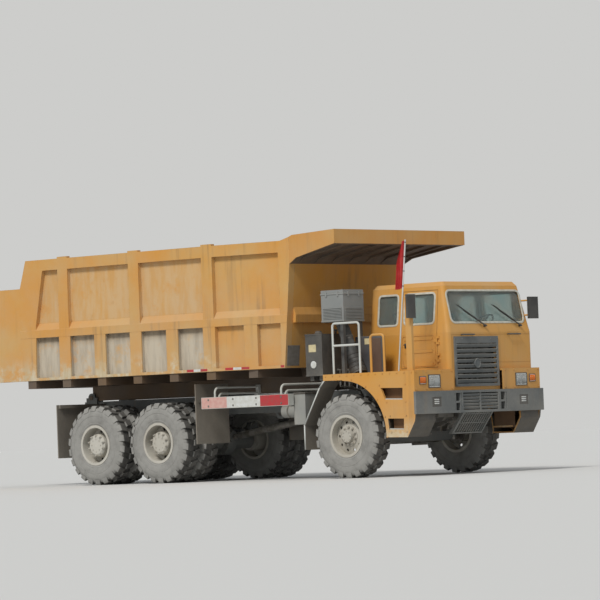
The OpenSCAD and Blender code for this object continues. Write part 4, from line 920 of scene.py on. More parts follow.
def make_nuts(name, body, x, side, face_y, radius, cover_y, cover_radius):
    """The nuts of one hub, and the bolts of its cover, each at their distance along Y."""
    shape = bmesh.new()
    add_nuts(shape, Vector((x, side * face_y, WHEEL_HEIGHT)), side, radius, 10,
             phase=math.pi / 10)
    add_nuts(shape, Vector((x, side * cover_y, WHEEL_HEIGHT)), side, cover_radius, 8, nut=0.009,
             tall=0.009, stud=0.0)
    return finish_piece(shape, name, "rim_paint", body=body)


FRONT_HUB = dict(face_y=1.4815, radius=0.139, cover_y=1.550, cover_radius=0.078)
DRIVEN_HUB = dict(face_y=1.548, radius=0.168, cover_y=1.5605, cover_radius=0.105)
for side, word in SIDES:
    make_nuts("wheel_nuts_front_" + word, "wheel_front_" + word, FRONT_X, side, **FRONT_HUB)
    for axle, x in DRIVEN:
        make_nuts(f"wheel_nuts_{axle}_{word}", f"wheels_{axle}_{word}", x, side, **DRIVEN_HUB)
print("wheel nuts on", 2 + 2 * len(DRIVEN), "hubs")

# %% [markdown]
# ## Window seals
# Each pane sits in a pale rubber seal that shows as a light line round the window. The seal
# starts as one four-cornered face in the plane of the wall, its corners are rounded by a
# vertex bevel, and an inset leaves the band, which is then given its thickness.

# %% Window seals
BELT_Z, EAVE_Z = 2.29, 3.05
SIDE_LEAN, SCREEN_LEAN = 0.10, 0.16
CAB_X0, CAB_X1 = 2.985, 4.675
CAB_RIGHT, CAB_LEFT = -0.61, 1.53
DOOR_X0, DOOR_X1 = 3.655, 4.435
WINDOW_LOW, WINDOW_HIGH = 2.45, 2.94
SEAL_WIDTH = 0.034


def lean(z):
    return (z - BELT_Z) / (EAVE_Z - BELT_Z)


def side_point(x, z, side, proud=0.0):
    """A point on the outer face of the cab's side wall."""
    if side < 0:
        return Vector((x, CAB_RIGHT + SIDE_LEAN * lean(z) - proud, z))
    return Vector((x, CAB_LEFT - SIDE_LEAN * lean(z) + proud, z))


def front_point(y, z, proud=0.0):
    return Vector((CAB_X1 - SCREEN_LEAN * lean(z) + proud, y, z))


def make_seal(name, body, corners, radius, thick=0.014):
    shape = bmesh.new()
    verts = [shape.verts.new(corner) for corner in corners]
    shape.faces.new(verts)
    bmesh.ops.bevel(shape, geom=verts, offset=radius, affect="VERTICES", segments=8, profile=0.5,
                    material=-1)
    shape.faces.ensure_lookup_table()
    middle = shape.faces[0]
    bmesh.ops.inset_individual(shape, faces=[middle], thickness=SEAL_WIDTH, use_even_offset=True)
    bmesh.ops.delete(shape, geom=[middle], context="FACES_ONLY")
    band = list(shape.faces)
    bmesh.ops.solidify(shape, geom=band, thickness=thick)
    edges = [edge for edge in shape.edges
             if len(edge.link_faces) == 2 and edge.calc_face_angle() > 1.0]
    bmesh.ops.bevel(shape, geom=edges, offset=0.0035, affect="EDGES", segments=2, profile=0.5,
                    material=-1)
    return finish_piece(shape, name, "black_plastic", GASKET, body=body, smooth=True)


def side_window(x0, x1, side, low=WINDOW_LOW, high=WINDOW_HIGH, grow=0.02):
    points = [(x0 - grow, low - grow), (x1 + grow, low - grow),
              (x1 + grow, high + grow), (x0 - grow, high + grow)]
    return [side_point(x, z, side, 0.008) for x, z in points]


for side, word in SIDES:
    make_seal("door_window_seal_" + word, "door_" + word,
              side_window(DOOR_X0 + 0.075, DOOR_X1 - 0.075, side), 0.085)
    make_seal("quarter_window_seal_" + word, "chassis",
              side_window(CAB_X0 + 0.19, DOOR_X0 - 0.07, side), 0.075)
screen = [front_point(y, z, 0.008)
          for y, z in ((-0.495, 2.43), (1.415, 2.43), (1.415, 2.99), (-0.495, 2.99))]
make_seal("windscreen_seal", "chassis", screen, 0.105)
rear = [Vector((CAB_X0 - 0.008, y, z))
        for y, z in ((0.02, 2.43), (0.90, 2.43), (0.90, 2.96), (0.02, 2.96))]
make_seal("rear_window_seal", "chassis", rear, 0.085)
seals = [piece for piece in made_pieces if "seal" in piece.name]
print("window seals:", sum(len(piece.data.polygons) for piece in seals), "faces")

# %% [markdown]
# ## Lamps
# Each lamp is a pressed bowl behind a moulded lens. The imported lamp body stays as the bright
# bowl, and here come the black bezel round it and the lens with its upright flutes, so that
# light breaks up on the front as it does on a real lens. The fog lamp is a dark block with
# three white bars, and the tail lamps have their flutes lying flat.

# %% Lamps
def add_frame(shape, low, high, width, x0, x1, round_by=0.004):
    """A four-sided bezel that stands on a face looking along X."""
    (y0, z0), (y1, z1) = low, high
    add_block(shape, (x0, y0 - width, z0 - width), (x1, y1 + width, z0), round_by)
    add_block(shape, (x0, y0 - width, z1), (x1, y1 + width, z1 + width), round_by)
    add_block(shape, (x0, y0 - width, z0 - 0.002), (x1, y0, z1 + 0.002), round_by)
    add_block(shape, (x0, y1, z0 - 0.002), (x1, y1 + width, z1 + 0.002), round_by)


def make_lens(name, low, high, x, material, flutes):
    """A softly domed lens with upright flutes on its face."""
    (y0, z0), (y1, z1) = low, high
    shape = bmesh.new()
    add_block(shape, (x, y0, z0), (x + 0.006, y1, z1), 0.003)
    step = (y1 - y0) / flutes
    for index in range(flutes):
        middle = y0 + (index + 0.5) * step
        add_rod(shape, (x + 0.0045, middle, z0 + 0.008), (x + 0.0045, middle, z1 - 0.008),
                step * 0.42, 10)
    return finish_piece(shape, name, "lamp_lens", material, smooth=True)


def mirrored(low, high, side):
    """A span in Y and Z, on the right or on the left."""
    ys = sorted((side * low[0], side * high[0]))
    return (ys[0], low[1]), (ys[1], high[1])


FASCIA_X = 4.755
TAIL_LAMP_X = -3.866

for side, word in SIDES:
    shape = bmesh.new()
    for low, high, width in (((0.975, 1.415), (1.245, 1.600), 0.014),
                             ((1.325, 1.470), (1.470, 1.580), 0.010)):
        add_frame(shape, *mirrored(low, high, side), width, FASCIA_X, FASCIA_X + 0.013)
    add_side_block(shape, side, (4.784, 0.993, 1.093), (4.7965, 1.227, 1.257), 0.003)
    finish_piece(shape, "lamp_bezels_" + word, "black_plastic")
    for lamp, low, high, proud, material, flutes in (
            ("head", (0.985, 1.425), (1.120, 1.590), 0.008, LENS, 11),
            ("dip", (1.126, 1.425), (1.235, 1.590), 0.008, LENS, 9),
            ("marker", (1.331, 1.476), (1.464, 1.574), 0.010, AMBER, 10)):
        make_lens(f"{lamp}_lens_{word}", *mirrored(low, high, side), FASCIA_X + proud, material,
                  flutes)
    shape = bmesh.new()
    for z in (1.140, 1.172, 1.204):
        add_side_block(shape, side, (4.794, 1.052, z), (4.7990, 1.168, z + 0.018), 0.002)
    finish_piece(shape, "fog_lens_" + word, "lamp_lens", TAPE_WHITE, smooth=True)
    for part, y0, y1, material in (("stop", 0.526, 0.680, RED), ("turn", 0.690, 0.834, AMBER)):
        low, high = mirrored((y0, 1.216), (y1, 1.324), side)
        shape = bmesh.new()
        add_block(shape, (TAIL_LAMP_X, low[0], low[1]), (TAIL_LAMP_X + 0.007, high[0], high[1]),
                  0.003)
        rib_x = TAIL_LAMP_X + 0.0005
        for index in range(9):
            height = low[1] + 0.012 + index * 0.0105
            add_rod(shape, (rib_x, low[0] + 0.006, height), (rib_x, high[0] - 0.006, height),
                    0.0045, 8)
        finish_piece(shape, f"{part}_lens_{word}", "lamp_lens", material, smooth=True)
print("lenses:", len([piece for piece in made_pieces if "lens" in piece.name]))

# %% [markdown]
# ## Guard boards
# The boards beside the fuel tank carry wide bands of red and white reflective tape, in the
# order of the photograph: red in front, white, and red behind. Tape is a thin flat strip
# that is rolled onto the board, so each band is a thin plate with soft edges. Short strips
# of the same tape run along the foot of the dump body, also where its side turns inwards.

# %% Reflective tape
GUARD_FACE = 1.570
GUARD_TAPES = ((1.392, 2.014, TAPE_RED), (0.640, 1.390, TAPE_WHITE), (0.065, 0.638, TAPE_FADED))
RED_SPANS = ((-0.170, -0.015), (0.145, 0.300), (0.680, 0.840), (1.010, 1.170), (1.795, 1.870))
WHITE_SPANS = ((-0.012, 0.142), (0.843, 1.007))

for side, word in SIDES:
    for index, (x0, x1, material) in enumerate(GUARD_TAPES):
        shape = bmesh.new()
        add_side_block(shape, side, (x0, GUARD_FACE - 0.0005, 1.226),
                       (x1, GUARD_FACE + 0.0012, 1.403), 0.0006)
        finish_piece(shape, f"guard_tape_{index + 1}_{word}", "pale_paint", material)
    shape = bmesh.new()
    for x in (0.22, 0.78, 1.30, 1.86):
        for z in (1.262, 1.366):
            foot = Vector((x, side * GUARD_FACE, z))
            add_rod(shape, foot, foot + Vector((0, side * 0.008, 0)), 0.012, 6)
            add_rod(shape, foot, foot + Vector((0, side * 0.0035, 0)), 0.018, 16)
    finish_piece(shape, "guard_bolts_" + word, "bare_steel")
    for colour, material, spans in (("red", TAPE_RED, RED_SPANS),
                                    ("white", TAPE_WHITE, WHITE_SPANS)):
        shape = bmesh.new()
        for x0, x1 in spans:
            past = max(0.0, (x0 + x1) / 2 - TURN_START)
            turn = Matrix.Rotation(-side * math.atan(BODY_TURN) if past else 0.0, 4, "Z")
            middle = side * (RIB_FACE - BODY_TURN * past)
            add_block(shape, (x0, middle - 0.0009, 1.846), (x1, middle + 0.0009, 1.886),
                      0.0006, turn)
        finish_piece(shape, f"body_tape_{colour}_{word}", "body_paint", material, body="dump_body")
print("tape on boards and body")

# %% [markdown]
# ## Door fittings
# A quarry truck's door has a pull handle on a black plate, with a keyhole below it. The
# handle is a bent rod, so a small helper lays a rod through corner points and rounds each
# corner with a ball.

# %% Door handles
def add_bent_rod(shape, points, radius, sides=14):
    for start, end in zip(points, points[1:]):
        add_rod(shape, start, end, radius, sides)
    for point in points[1:-1]:
        bmesh.ops.create_uvsphere(shape, u_segments=sides, v_segments=8, radius=radius,
                                  matrix=Matrix.Translation(point))


for side, word in SIDES:
    wall = CAB_RIGHT if side < 0 else CAB_LEFT
    shape = bmesh.new()
    ys = sorted((wall, wall + side * 0.010))
    add_block(shape, (3.745, ys[0], 2.068), (3.895, ys[1], 2.146), 0.004)
    bow = ((3.760, 0.005), (3.760, 0.040), (3.880, 0.040), (3.880, 0.005))
    add_bent_rod(shape, [Vector((x, wall + side * proud, 2.122)) for x, proud in bow], 0.009)
    add_rod(shape, (3.820, wall + side * 0.008, 2.087), (3.820, wall + side * 0.015, 2.087),
            0.011, 18)
    finish_piece(shape, "door_handle_" + word, "black_plastic", body="door_" + word)
print("door fittings on both doors")

# %% [markdown]
# ## Mirrors and wipers
# The mirror heads are moulded shells with a silvered pane set into the back. The wipers are
# spring arms with a bridge and a rubber blade that lies along the glass.

# %% Mirror panes and wiper blades
RIM = 0.012


def make_pane(name, low, high, x):
    """A mirror pane that looks back, in its rim."""
    y0, z0, y1, z1 = low[0] + RIM, low[1] + RIM, high[0] - RIM, high[1] - RIM
    shape = bmesh.new()
    add_block(shape, (x - 0.003, y0, z0), (x + 0.001, y1, z1), 0.001)
    finish_piece(shape, name, "glass", MIRROR)
    shape = bmesh.new()
    add_frame(shape, (y0, z0), (y1, z1), RIM, x - 0.008, x + 0.002, 0.003)
    finish_piece(shape, name + "_rim", "black_plastic")


make_pane("mirror_pane_right", (-1.645, 2.520), (-1.450, 2.900), 4.6803)
make_pane("mirror_pane_left", (1.405, 2.500), (1.645, 2.860), 4.7153)
shape = bmesh.new()
for y in (0.330, 1.240):
    foot = front_point(y, 2.39, 0.050)
    tip = front_point(y - 0.49, 2.655, 0.052)
    along = (tip - foot).normalized()
    add_rod(shape, foot + along * 0.16, tip + along * 0.16, 0.007, 8)
    for reach in (0.22, 0.36, 0.50, 0.64):
        middle = foot + along * reach
        add_rod(shape, middle, middle + Vector((-0.020, 0, 0)), 0.005, 8)
    inward = Vector((-0.022, 0, 0))
    add_rod(shape, foot + along * 0.14 + inward, tip + along * 0.18 + inward, 0.006, 6)
    add_rod(shape, front_point(y, 2.39, 0.0), front_point(y, 2.39, 0.058), 0.013, 14)
finish_piece(shape, "wiper_blades", "black_plastic")
print("mirrors and wipers")

# %% [markdown]
# ## Flag
# The warning flag is one piece of thin red cloth, tied to the pole along its hoist and
# hanging limp, so it falls into three loose folds. Each level of the cloth is drawn as a
# wave whose length along the cloth stays the same, which keeps the cloth at the size that
# it was cut to, and the folds drift sideways and open towards the lower edge.

# %% Flag cloth
FLAG_WIDTH, FLAG_HEIGHT = 0.44, 0.76
FLAG_STEPS, FLAG_ROWS, HALVINGS = 84, 70, 26
FLAG_FOOT = Vector((4.365, -1.51, 1.69))
FLAG_TOP, CORNER_DROP = 2.08, 0.03
POLE_TURN = Matrix.Rotation(math.radians(6.6), 3, "Y")


def fold_line(reach, depth, down):
    """Points of one level of the flag: back from the pole, and sideways in folds."""
    points = []
    for index in range(FLAG_STEPS + 1):
        s = index / FLAG_STEPS
        fullness = min(1.0, 6.0 * s) * (0.75 + 0.25 * math.sin(5.0 * s + 3.0 * down))
        phase = math.tau * (2.75 * s + 0.10 * math.sin(3.0 * down + 4.0 * s))
        side = depth * fullness * math.sin(phase)
        points.append(Vector((-0.014 - reach * s, side, 0.0)))
    return points


def line_length(points):
    return sum((b - a).length for a, b in zip(points, points[1:]))


def flag_level(down):
    """One level of the flag, whose folds are as deep as its length along the cloth asks for."""
    reach = 0.030 + 0.075 * min(1.0, 2.2 * down) + 0.012 * math.sin(6.0 * down)
    low, high = 0.0, 0.2
    for _ in range(HALVINGS):
        depth = (low + high) / 2
        if line_length(fold_line(reach, depth, down)) < FLAG_WIDTH:
            low = depth
        else:
            high = depth
    return fold_line(reach, depth, down)


shape = bmesh.new()
sewn = shape.loops.layers.uv.new("UVMap")
rows = []
for row in range(FLAG_ROWS + 1):
    down = row / FLAG_ROWS
    level = flag_level(down)
    lift = FLAG_TOP - FLAG_HEIGHT * down
    rows.append([])
    for index, point in enumerate(level):
        point.z = lift - CORNER_DROP * (index / FLAG_STEPS) ** 2
        rows[-1].append(shape.verts.new(FLAG_FOOT + POLE_TURN @ point))
for row in range(FLAG_ROWS):
    for index in range(FLAG_STEPS):
        corners = ((row, index), (row, index + 1), (row + 1, index + 1), (row + 1, index))
        face = shape.faces.new([rows[r][i] for r, i in corners])
        for loop, (r, i) in zip(face.loops, corners):
            loop[sewn].uv = (i / FLAG_STEPS * FLAG_WIDTH, r / FLAG_ROWS * FLAG_HEIGHT)
flag = finish_piece(shape, "flag_sheet", "flag_cloth", smooth=True)
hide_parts("flag")
shape = bmesh.new()
tie = [(-0.006, 0.012), (-0.006, 0.016), (0.0, 0.0175), (0.006, 0.016), (0.006, 0.012)]
for lift in (2.06, 1.83, 1.60, 1.36):
    add_turned(shape, tie, FLAG_FOOT + POLE_TURN @ Vector((0, 0, lift)),
               POLE_TURN @ Vector((0, 0, 1)), 20)
finish_piece(shape, "flag_ties", "flag_cloth", SEAT_CLOTH)
print("flag:", FLAG_WIDTH, "by", FLAG_HEIGHT, "m of cloth")

# %% [markdown]
# ## Seats
# Each seat has a crowned cushion and a back, foam under woven cloth. The pads start a little
# small, are given an even skin by a voxel remesh, and are then blown up by a short cloth
# simulation with pressure and no gravity, as foam fills its cover. How far a point may move
# is capped, so each pad stays in its place. Both seats share the two shapes. Below them are
# the sprung pedestals, with a rubber bellows between two pressed steel boxes.

# %% Seat pads
SEAT_X, SEAT_Z = 3.315, 1.73
SWELL_FRAMES = 20
PAD_ROUNDING, SKIN_VOXEL = 0.024, 0.013


def swell(piece, cap, pressure=4.0):
    """Blows up a closed pad by cloth simulation, and caps how far each point moves."""
    before = [vert.co.copy() for vert in piece.data.vertices]
    cloth = piece.modifiers.new("foam", "CLOTH")
    cloth.settings.use_pressure = True
    cloth.settings.uniform_pressure_force = pressure
    cloth.settings.quality = 5
    cloth.settings.tension_stiffness = 18
    cloth.settings.bending_stiffness = 2
    cloth.settings.effector_weights.gravity = 0
    cloth.collision_settings.use_self_collision = False
    cloth.point_cache.frame_start, cloth.point_cache.frame_end = 1, SWELL_FRAMES
    scene = bpy.context.scene
    for number in range(1, SWELL_FRAMES + 1):
        scene.frame_set(number)
    solved = piece.evaluated_get(bpy.context.evaluated_depsgraph_get())
    after = [vert.co.copy() for vert in solved.to_mesh().vertices]
    solved.to_mesh_clear()
    piece.modifiers.remove(cloth)
    scene.frame_set(1)
    for vert, old, new in zip(piece.data.vertices, before, after):
        shift = new - old
        vert.co = old + (shift if shift.length <= cap else shift.normalized() * cap)


def make_pad(name, outline, width, cap):
    """A pad from its side outline in X and Z, and its width in Y."""
    shape = bmesh.new()
    ring = [shape.verts.new((x, -width / 2, z)) for x, z in outline]
    pull_out(shape, ring, (0, width, 0))
    bmesh.ops.recalc_face_normals(shape, faces=shape.faces)
    soften(shape, list(shape.verts), PAD_ROUNDING, 3)
    pad = add_object(name, take_mesh(shape, name))
    skin = pad.modifiers.new("skin", "REMESH")
    skin.mode = "VOXEL"
    skin.voxel_size = SKIN_VOXEL
    solved = pad.evaluated_get(bpy.context.evaluated_depsgraph_get())
    even = bpy.data.meshes.new_from_object(solved)
    pad.modifiers.remove(skin)
    pad.data = even
    swell(pad, cap)
    even.polygons.foreach_set("use_smooth", [True] * len(even.polygons))
    even.materials.clear()
    even.materials.append(SEAT_CLOTH)
    return pad


def place_pad(pad, name, y):
    piece = pad.copy()
    piece.data = pad.data.copy()
    piece.name = name
    piece.data.transform(Matrix.Translation((SEAT_X, y, SEAT_Z)))
    bpy.context.scene.collection.objects.link(piece)
    finer = piece.modifiers.new("finer", "SUBSURF")
    finer.levels = finer.render_levels = 1
    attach(piece, "chassis")
    return piece


CUSHION = [(0.015, 0.258), (0.545, 0.258), (0.545, 0.352), (0.015, 0.345)]
BACK = [(0.012, 0.392), (0.112, 0.392), (0.018, 0.945), (-0.078, 0.945)]
seat_pads = [make_pad("pad_shape_seat", CUSHION, 0.470, 0.020),
             make_pad("pad_shape_back", BACK, 0.450, 0.018)]
for y, word in ((-0.10, "right"), (0.94, "left")):
    place_pad(seat_pads[0], "seat_cushion_" + word, y)
    place_pad(seat_pads[1], "seat_back_" + word, y)
    shape = bmesh.new()
    foot = Vector((SEAT_X, y, SEAT_Z))
    boxes = [((0.08, -0.17, 0), (0.48, 0.17, 0.05), 0.006),
             ((0.06, -0.20, 0.19), (0.50, 0.20, 0.24), 0.008)]
    for index in range(7):
        low = 0.05 + index * 0.02
        boxes += [((0.12, -0.13, low), (0.44, 0.13, low + 0.012), 0.005),
                  ((0.135, -0.115, low + 0.008), (0.425, 0.115, low + 0.022), 0)]
    for edge in (-0.245, 0.235):
        boxes.append(((0.30, edge, 0.21), (0.36, edge + 0.01, 0.30), 0.003))
    for low, high, round_by in boxes:
        add_block(shape, foot + Vector(low), foot + Vector(high), round_by)
    bar = foot + Vector((0.02, 0, 0.30))
    add_rod(shape, bar - Vector((0, 0.20, 0)), bar + Vector((0, 0.20, 0)), 0.012, 14)
    add_rod(shape, bar, bar + Vector((0, 0, 0.12)), 0.016, 14)
    finish_piece(shape, "seat_pedestal_" + word, "black_plastic")
for pad in seat_pads:
    bpy.data.objects.remove(pad)
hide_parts("cab_seats")

# %% [markdown]
# ## Decks
# The walkway and the fender tops are chequer plate, pressed from flat sheet with short
# raised bars that lie crosswise to each other so that boots grip. Each bar is a low lens
# shape, and its neighbours are turned by a right angle. Bolt heads run along the deck's
# edges and down the fenders, and liners painted a dark brown-orange, as painted shade,
# stand inside the footholds of the step box.

# %% Chequer plate and deck bolts
GRIP_BAR = (0.030, 0.007, 0.0035)


def chequer(shape, x0, x1, y0, y1, z, pitch=0.085):
    """Raised bars over a flat area, each a flattened eight-sided lens."""
    columns, lines = int((x1 - x0) / pitch), int((y1 - y0) / pitch)
    for column in range(columns):
        for line in range(lines):
            middle = Vector((x0 + (column + 0.5) * (x1 - x0) / columns,
                             y0 + (line + 0.5) * (y1 - y0) / lines, z))
            turn = math.radians(45 if (column + line) % 2 else -45)
            place = (Matrix.Translation(middle) @ Matrix.Rotation(turn, 4, "Z")
                     @ Matrix.Diagonal((*GRIP_BAR, 1)))
            bmesh.ops.create_cone(shape, cap_ends=True, segments=8, radius1=1.0, radius2=0.45,
                                  depth=2.0, matrix=place)


def add_bolt(shape, centre, out, size=0.011):
    """A six-sided bolt head on a washer."""
    centre, out = Vector(centre), Vector(out)
    add_rod(shape, centre - out * 0.002, centre + out * 0.003, size * 1.5, 14)
    add_rod(shape, centre + out * 0.002, centre + out * size * 0.8, size, 6)


DECK_TOP = 1.6905
DECK_REAR = 2.845
FENDER_FACE = 1.600
ARCH_BOLTS = 0.925

for name, y0, y1, spans in (
        ("deck_grip_right", -1.465, -0.640, [(DECK_REAR, 4.725)]),
        ("deck_grip_left", 0.690, 1.585, [(4.680, 4.745), (DECK_REAR, 2.980)])):
    shape = bmesh.new()
    for x0, x1 in spans:
        chequer(shape, x0, x1, y0, y1, DECK_TOP)
    finish_piece(shape, name, "cab_paint")
shape = bmesh.new()
for side in (-1, 1):
    for index in range(13):
        add_bolt(shape, (2.875 + index * 0.152, side * FENDER_FACE, 1.660), (0, side, 0))
    for index in range(5):
        angle = math.radians(18 + index * 20)
        x, z = FRONT_X + ARCH_BOLTS * math.cos(angle), WHEEL_HEIGHT + ARCH_BOLTS * math.sin(angle)
        add_bolt(shape, (x, side * FENDER_FACE, z), (0, side, 0))
    for x, z in ((4.02, 1.475), (4.56, 1.475), (4.56, 1.20), (4.16, 1.20),
                 (4.22, 0.975), (4.56, 0.975), (4.56, 0.715), (4.24, 0.715)):
        add_bolt(shape, (x, side * FENDER_FACE, z), (0, side, 0))
for y in (-1.56, -1.30, -0.92, -0.66, 0.70, 0.93, 1.29, 1.56):
    for z in (1.385, 1.665):
        add_bolt(shape, (FASCIA_X, y, z), (1, 0, 0))
finish_piece(shape, "fender_bolts", "cab_paint", FENDERS)
# Painted shade: the liners' dark brown-orange stands in for the shade inside the footholds.
for side, word in SIDES:
    shape = bmesh.new()
    for low, high in (((4.165, 1.100, 0.72), (4.600, 1.108, 1.60)),
                      ((4.030, 1.470, 1.19), (4.600, 1.478, 1.490)),
                      ((4.190, 1.470, 0.70), (4.600, 1.478, 0.990))):
        add_side_block(shape, side, low, high, 0.001)
    finish_piece(shape, "step_box_liner_" + word, "dark_paint", BOX_INSIDE_SHADE)
    shape = bmesh.new()
    for x0, z0, x1, z1 in ((4.135, 1.250, 4.490, 1.238), (4.205, 0.769, 4.497, 0.760)):
        add_rod(shape, (x0, side * 1.588, z0), (x1, side * 1.588, z1), 0.010, 10)
    finish_piece(shape, "foothold_lips_" + word, "pale_paint")
print("deck grip, bolts and step box liners")

# %% [markdown]
# ## Tanks and air cleaner
# Behind the walkway stand the oil tank and the air cleaner. The tank has a filler cap, a
# round sight glass and a blank plate, and the air cleaner has pressed louvres, a lid with
# clips, and clamps and a bellows on its duct. Beside them stands a cabinet with a door and a
# blank plate, painted dark grey and dark brown as painted shade. The fuel tank hangs in two
# strap bands, with a cap.

# %% Tank and air cleaner fittings
def add_band(shape, centre, axis, radius, wide, thick=0.004, steps=40):
    """A strap or clamp: a thin ring round a pipe or drum."""
    half = wide / 2
    add_turned(shape, [(-half, radius - 0.001), (-half, radius + thick), (half, radius + thick),
                       (half, radius - 0.001)], Vector(centre), axis, steps)


shape = bmesh.new()
filler_cap = [(0.0, 0.0), (0.0, 0.062), (0.012, 0.066), (0.030, 0.064), (0.036, 0.052),
              (0.052, 0.050), (0.056, 0.044), (0.056, 0.0)]
add_turned(shape, filler_cap, (2.44, -1.24, 2.358), (0, 0, 1), 32)
add_rod(shape, (2.60, -1.00, 2.355), (2.60, -1.00, 2.40), 0.018, 16)
add_rod(shape, (2.60, -1.00, 2.40), (2.60, -1.00, 2.435), 0.032, 20)
for y in (-1.449, -0.801):
    add_block(shape, (2.322, y - 0.006, 1.676), (2.698, y + 0.006, 1.700), 0.003)
    add_block(shape, (2.322, y - 0.006, 2.340), (2.698, y + 0.006, 2.364), 0.003)
finish_piece(shape, "oil_tank_cap", "black_paint")
shape = bmesh.new()
add_turned(shape, [(0.0, 0.0), (0.0, 0.060), (0.010, 0.060), (0.014, 0.052), (0.014, 0.0)],
           (2.500, -1.450, 1.862), (0, -1, 0), 36)
finish_piece(shape, "sight_glass", "pale_paint", TAPE_WHITE)
shape = bmesh.new()
add_block(shape, (2.400, -1.4525, 2.070), (2.560, -1.4495, 2.190), 0.001)
finish_piece(shape, "blank_tank_plate", "pale_paint", BLANK_PLATE)
shape = bmesh.new()
for x, z in ((2.408, 2.078), (2.552, 2.078), (2.408, 2.182), (2.552, 2.182)):
    add_rod(shape, (x, -1.4520, z), (x, -1.4545, z), 0.004, 8)
for y in (-1.08, -0.97, -0.86):
    line = ((2.69, y, 1.76), (2.74, y, 1.76), (2.74, y, 1.50), (2.74, -0.60, 1.42),
            (2.66, -0.46, 1.36))
    add_bent_rod(shape, [Vector(point) for point in line], 0.016)
    add_rod(shape, (2.688, y, 1.76), (2.712, y, 1.76), 0.026, 6)
finish_piece(shape, "oil_pipes", "bare_steel")

shape = bmesh.new()
for index in range(8):
    z = 2.590 + index * 0.024
    add_block(shape, (2.705, -1.412, z), (3.105, -1.396, z + 0.011), 0.003,
              Matrix.Rotation(math.radians(-18), 4, "X"))
    add_block(shape, (3.141, -1.36, z), (3.157, -0.94, z + 0.011), 0.003,
              Matrix.Rotation(math.radians(-18), 4, "Y"))
add_block(shape, (2.655, -1.410, 2.985), (3.155, -0.890, 3.005), 0.004)
add_block(shape, (2.655, -1.410, 2.548), (3.155, -0.890, 2.562), 0.004)
for x in (2.78, 3.03):
    add_block(shape, (x - 0.014, -1.414, 2.950), (x + 0.014, -1.400, 3.030), 0.004)
for y in (-1.28, -1.02):
    add_block(shape, (3.143, y - 0.014, 2.950), (3.159, y + 0.014, 3.030), 0.004)
finish_piece(shape, "air_cleaner_louvres", "grey_metal")
shape = bmesh.new()
tilt = math.radians(158)
along = Vector((math.sin(tilt), 0, math.cos(tilt)))
for reach in (0.10, 0.34, 0.38, 0.80):
    add_band(shape, Vector((2.845, -1.15, 2.60)) + along * reach, along, 0.100, 0.022)
finish_piece(shape, "duct_clamps", "bare_steel")
shape = bmesh.new()
top, foot = Vector((3.060, -1.150, 2.050)), Vector((3.210, -1.150, 1.694))
add_rod(shape, top, foot, 0.108, 28, 0.135)
for reach in (0.06, 0.13, 0.20, 0.27, 0.34):
    add_band(shape, top.lerp(foot, reach / 0.386), (foot - top).normalized(), 0.108 + 0.07 * reach,
             0.022, 0.008)
finish_piece(shape, "duct_boot", "black_plastic")

# Painted shade: the dark cabinet and its dark brown door stand in for the shade beside the cab.
shape = bmesh.new()
add_block(shape, (3.000, -0.980, 1.692), (3.600, -0.920, 2.290), 0.012)
for x in (3.030, 3.570):
    add_block(shape, (x - 0.012, -0.988, 1.720), (x + 0.012, -0.976, 2.240), 0.003)
finish_piece(shape, "deck_cabinet", "dark_paint", CABINET)
shape = bmesh.new()
add_block(shape, (3.325, -0.986, 1.705), (3.552, -0.978, 2.255), 0.003)
finish_piece(shape, "cabinet_door", "dark_paint", CABINET_DOOR)
shape = bmesh.new()
add_block(shape, (3.205, -0.9815, 2.160), (3.312, -0.9795, 2.255), 0.0006)
finish_piece(shape, "blank_cabinet_plate", "pale_paint", BLANK_PLATE)

shape = bmesh.new()
for x in (0.365, 0.905):
    for y0, y1, z0, z1 in ((0.864, 0.8705, 0.850, 1.300), (1.4195, 1.426, 0.850, 1.300),
                           (0.960, 1.330, 0.754, 0.7605), (0.960, 1.330, 1.3895, 1.396)):
        add_block(shape, (x - 0.03, y0, z0), (x + 0.03, y1, z1), 0.002)
    section = [(-0.03, 0.0895), (-0.03, 0.096), (0.03, 0.096), (0.03, 0.0895)]
    for y, z, turn in ((1.330, 0.850, 270), (1.330, 1.300, 0), (0.960, 1.300, 90),
                       (0.960, 0.850, 180)):
        centre = Vector((x, y, z))
        tilt = Matrix.Rotation(math.radians(turn), 3, "X")
        verts = [shape.verts.new(centre + tilt @ Vector((a, r, 0))) for a, r in section]
        edges = [shape.edges.new(pair) for pair in zip(verts, verts[1:] + verts[:1])]
        bmesh.ops.spin(shape, geom=verts + edges, cent=centre, axis=(1, 0, 0),
                       angle=math.pi / 2, steps=10, use_merge=False, use_duplicate=False)
finish_piece(shape, "fuel_tank_straps", "black_paint")
shape = bmesh.new()
fuel_cap = [(0.0, 0.0), (0.0, 0.058), (0.014, 0.060), (0.036, 0.058), (0.044, 0.050), (0.044, 0.0)]
add_turned(shape, fuel_cap, (0.64, 1.28, 1.388), (0, 0, 1), 32)
add_block(shape, (0.632, 1.225, 1.430), (0.648, 1.335, 1.440), 0.003)
for y in (-0.90, -0.64):
    for x in (1.48, 1.76, 2.04):
        add_band(shape, (x, y, 1.13), (1, 0, 0), 0.110, 0.030)
for x in (1.42, 1.84, 2.26):
    add_band(shape, (x, 0.70, 1.12), (1, 0, 0), 0.170, 0.034)
add_block(shape, (1.975, -1.408, 1.395), (2.245, -0.992, 1.424), 0.006)
finish_piece(shape, "tank_caps_and_bands", "bare_steel")
print("tank and air cleaner fittings")

# %% [markdown]
# ## Radiator and grille
# Through the slats shows the radiator core: flat tubes with folded fins between them. The
# slats are screwed to their frame, and the bare round boss in the middle has a raised rim.

# %% Radiator core and grille trim
CORE_X = 4.588
GRILLE_X = 4.700

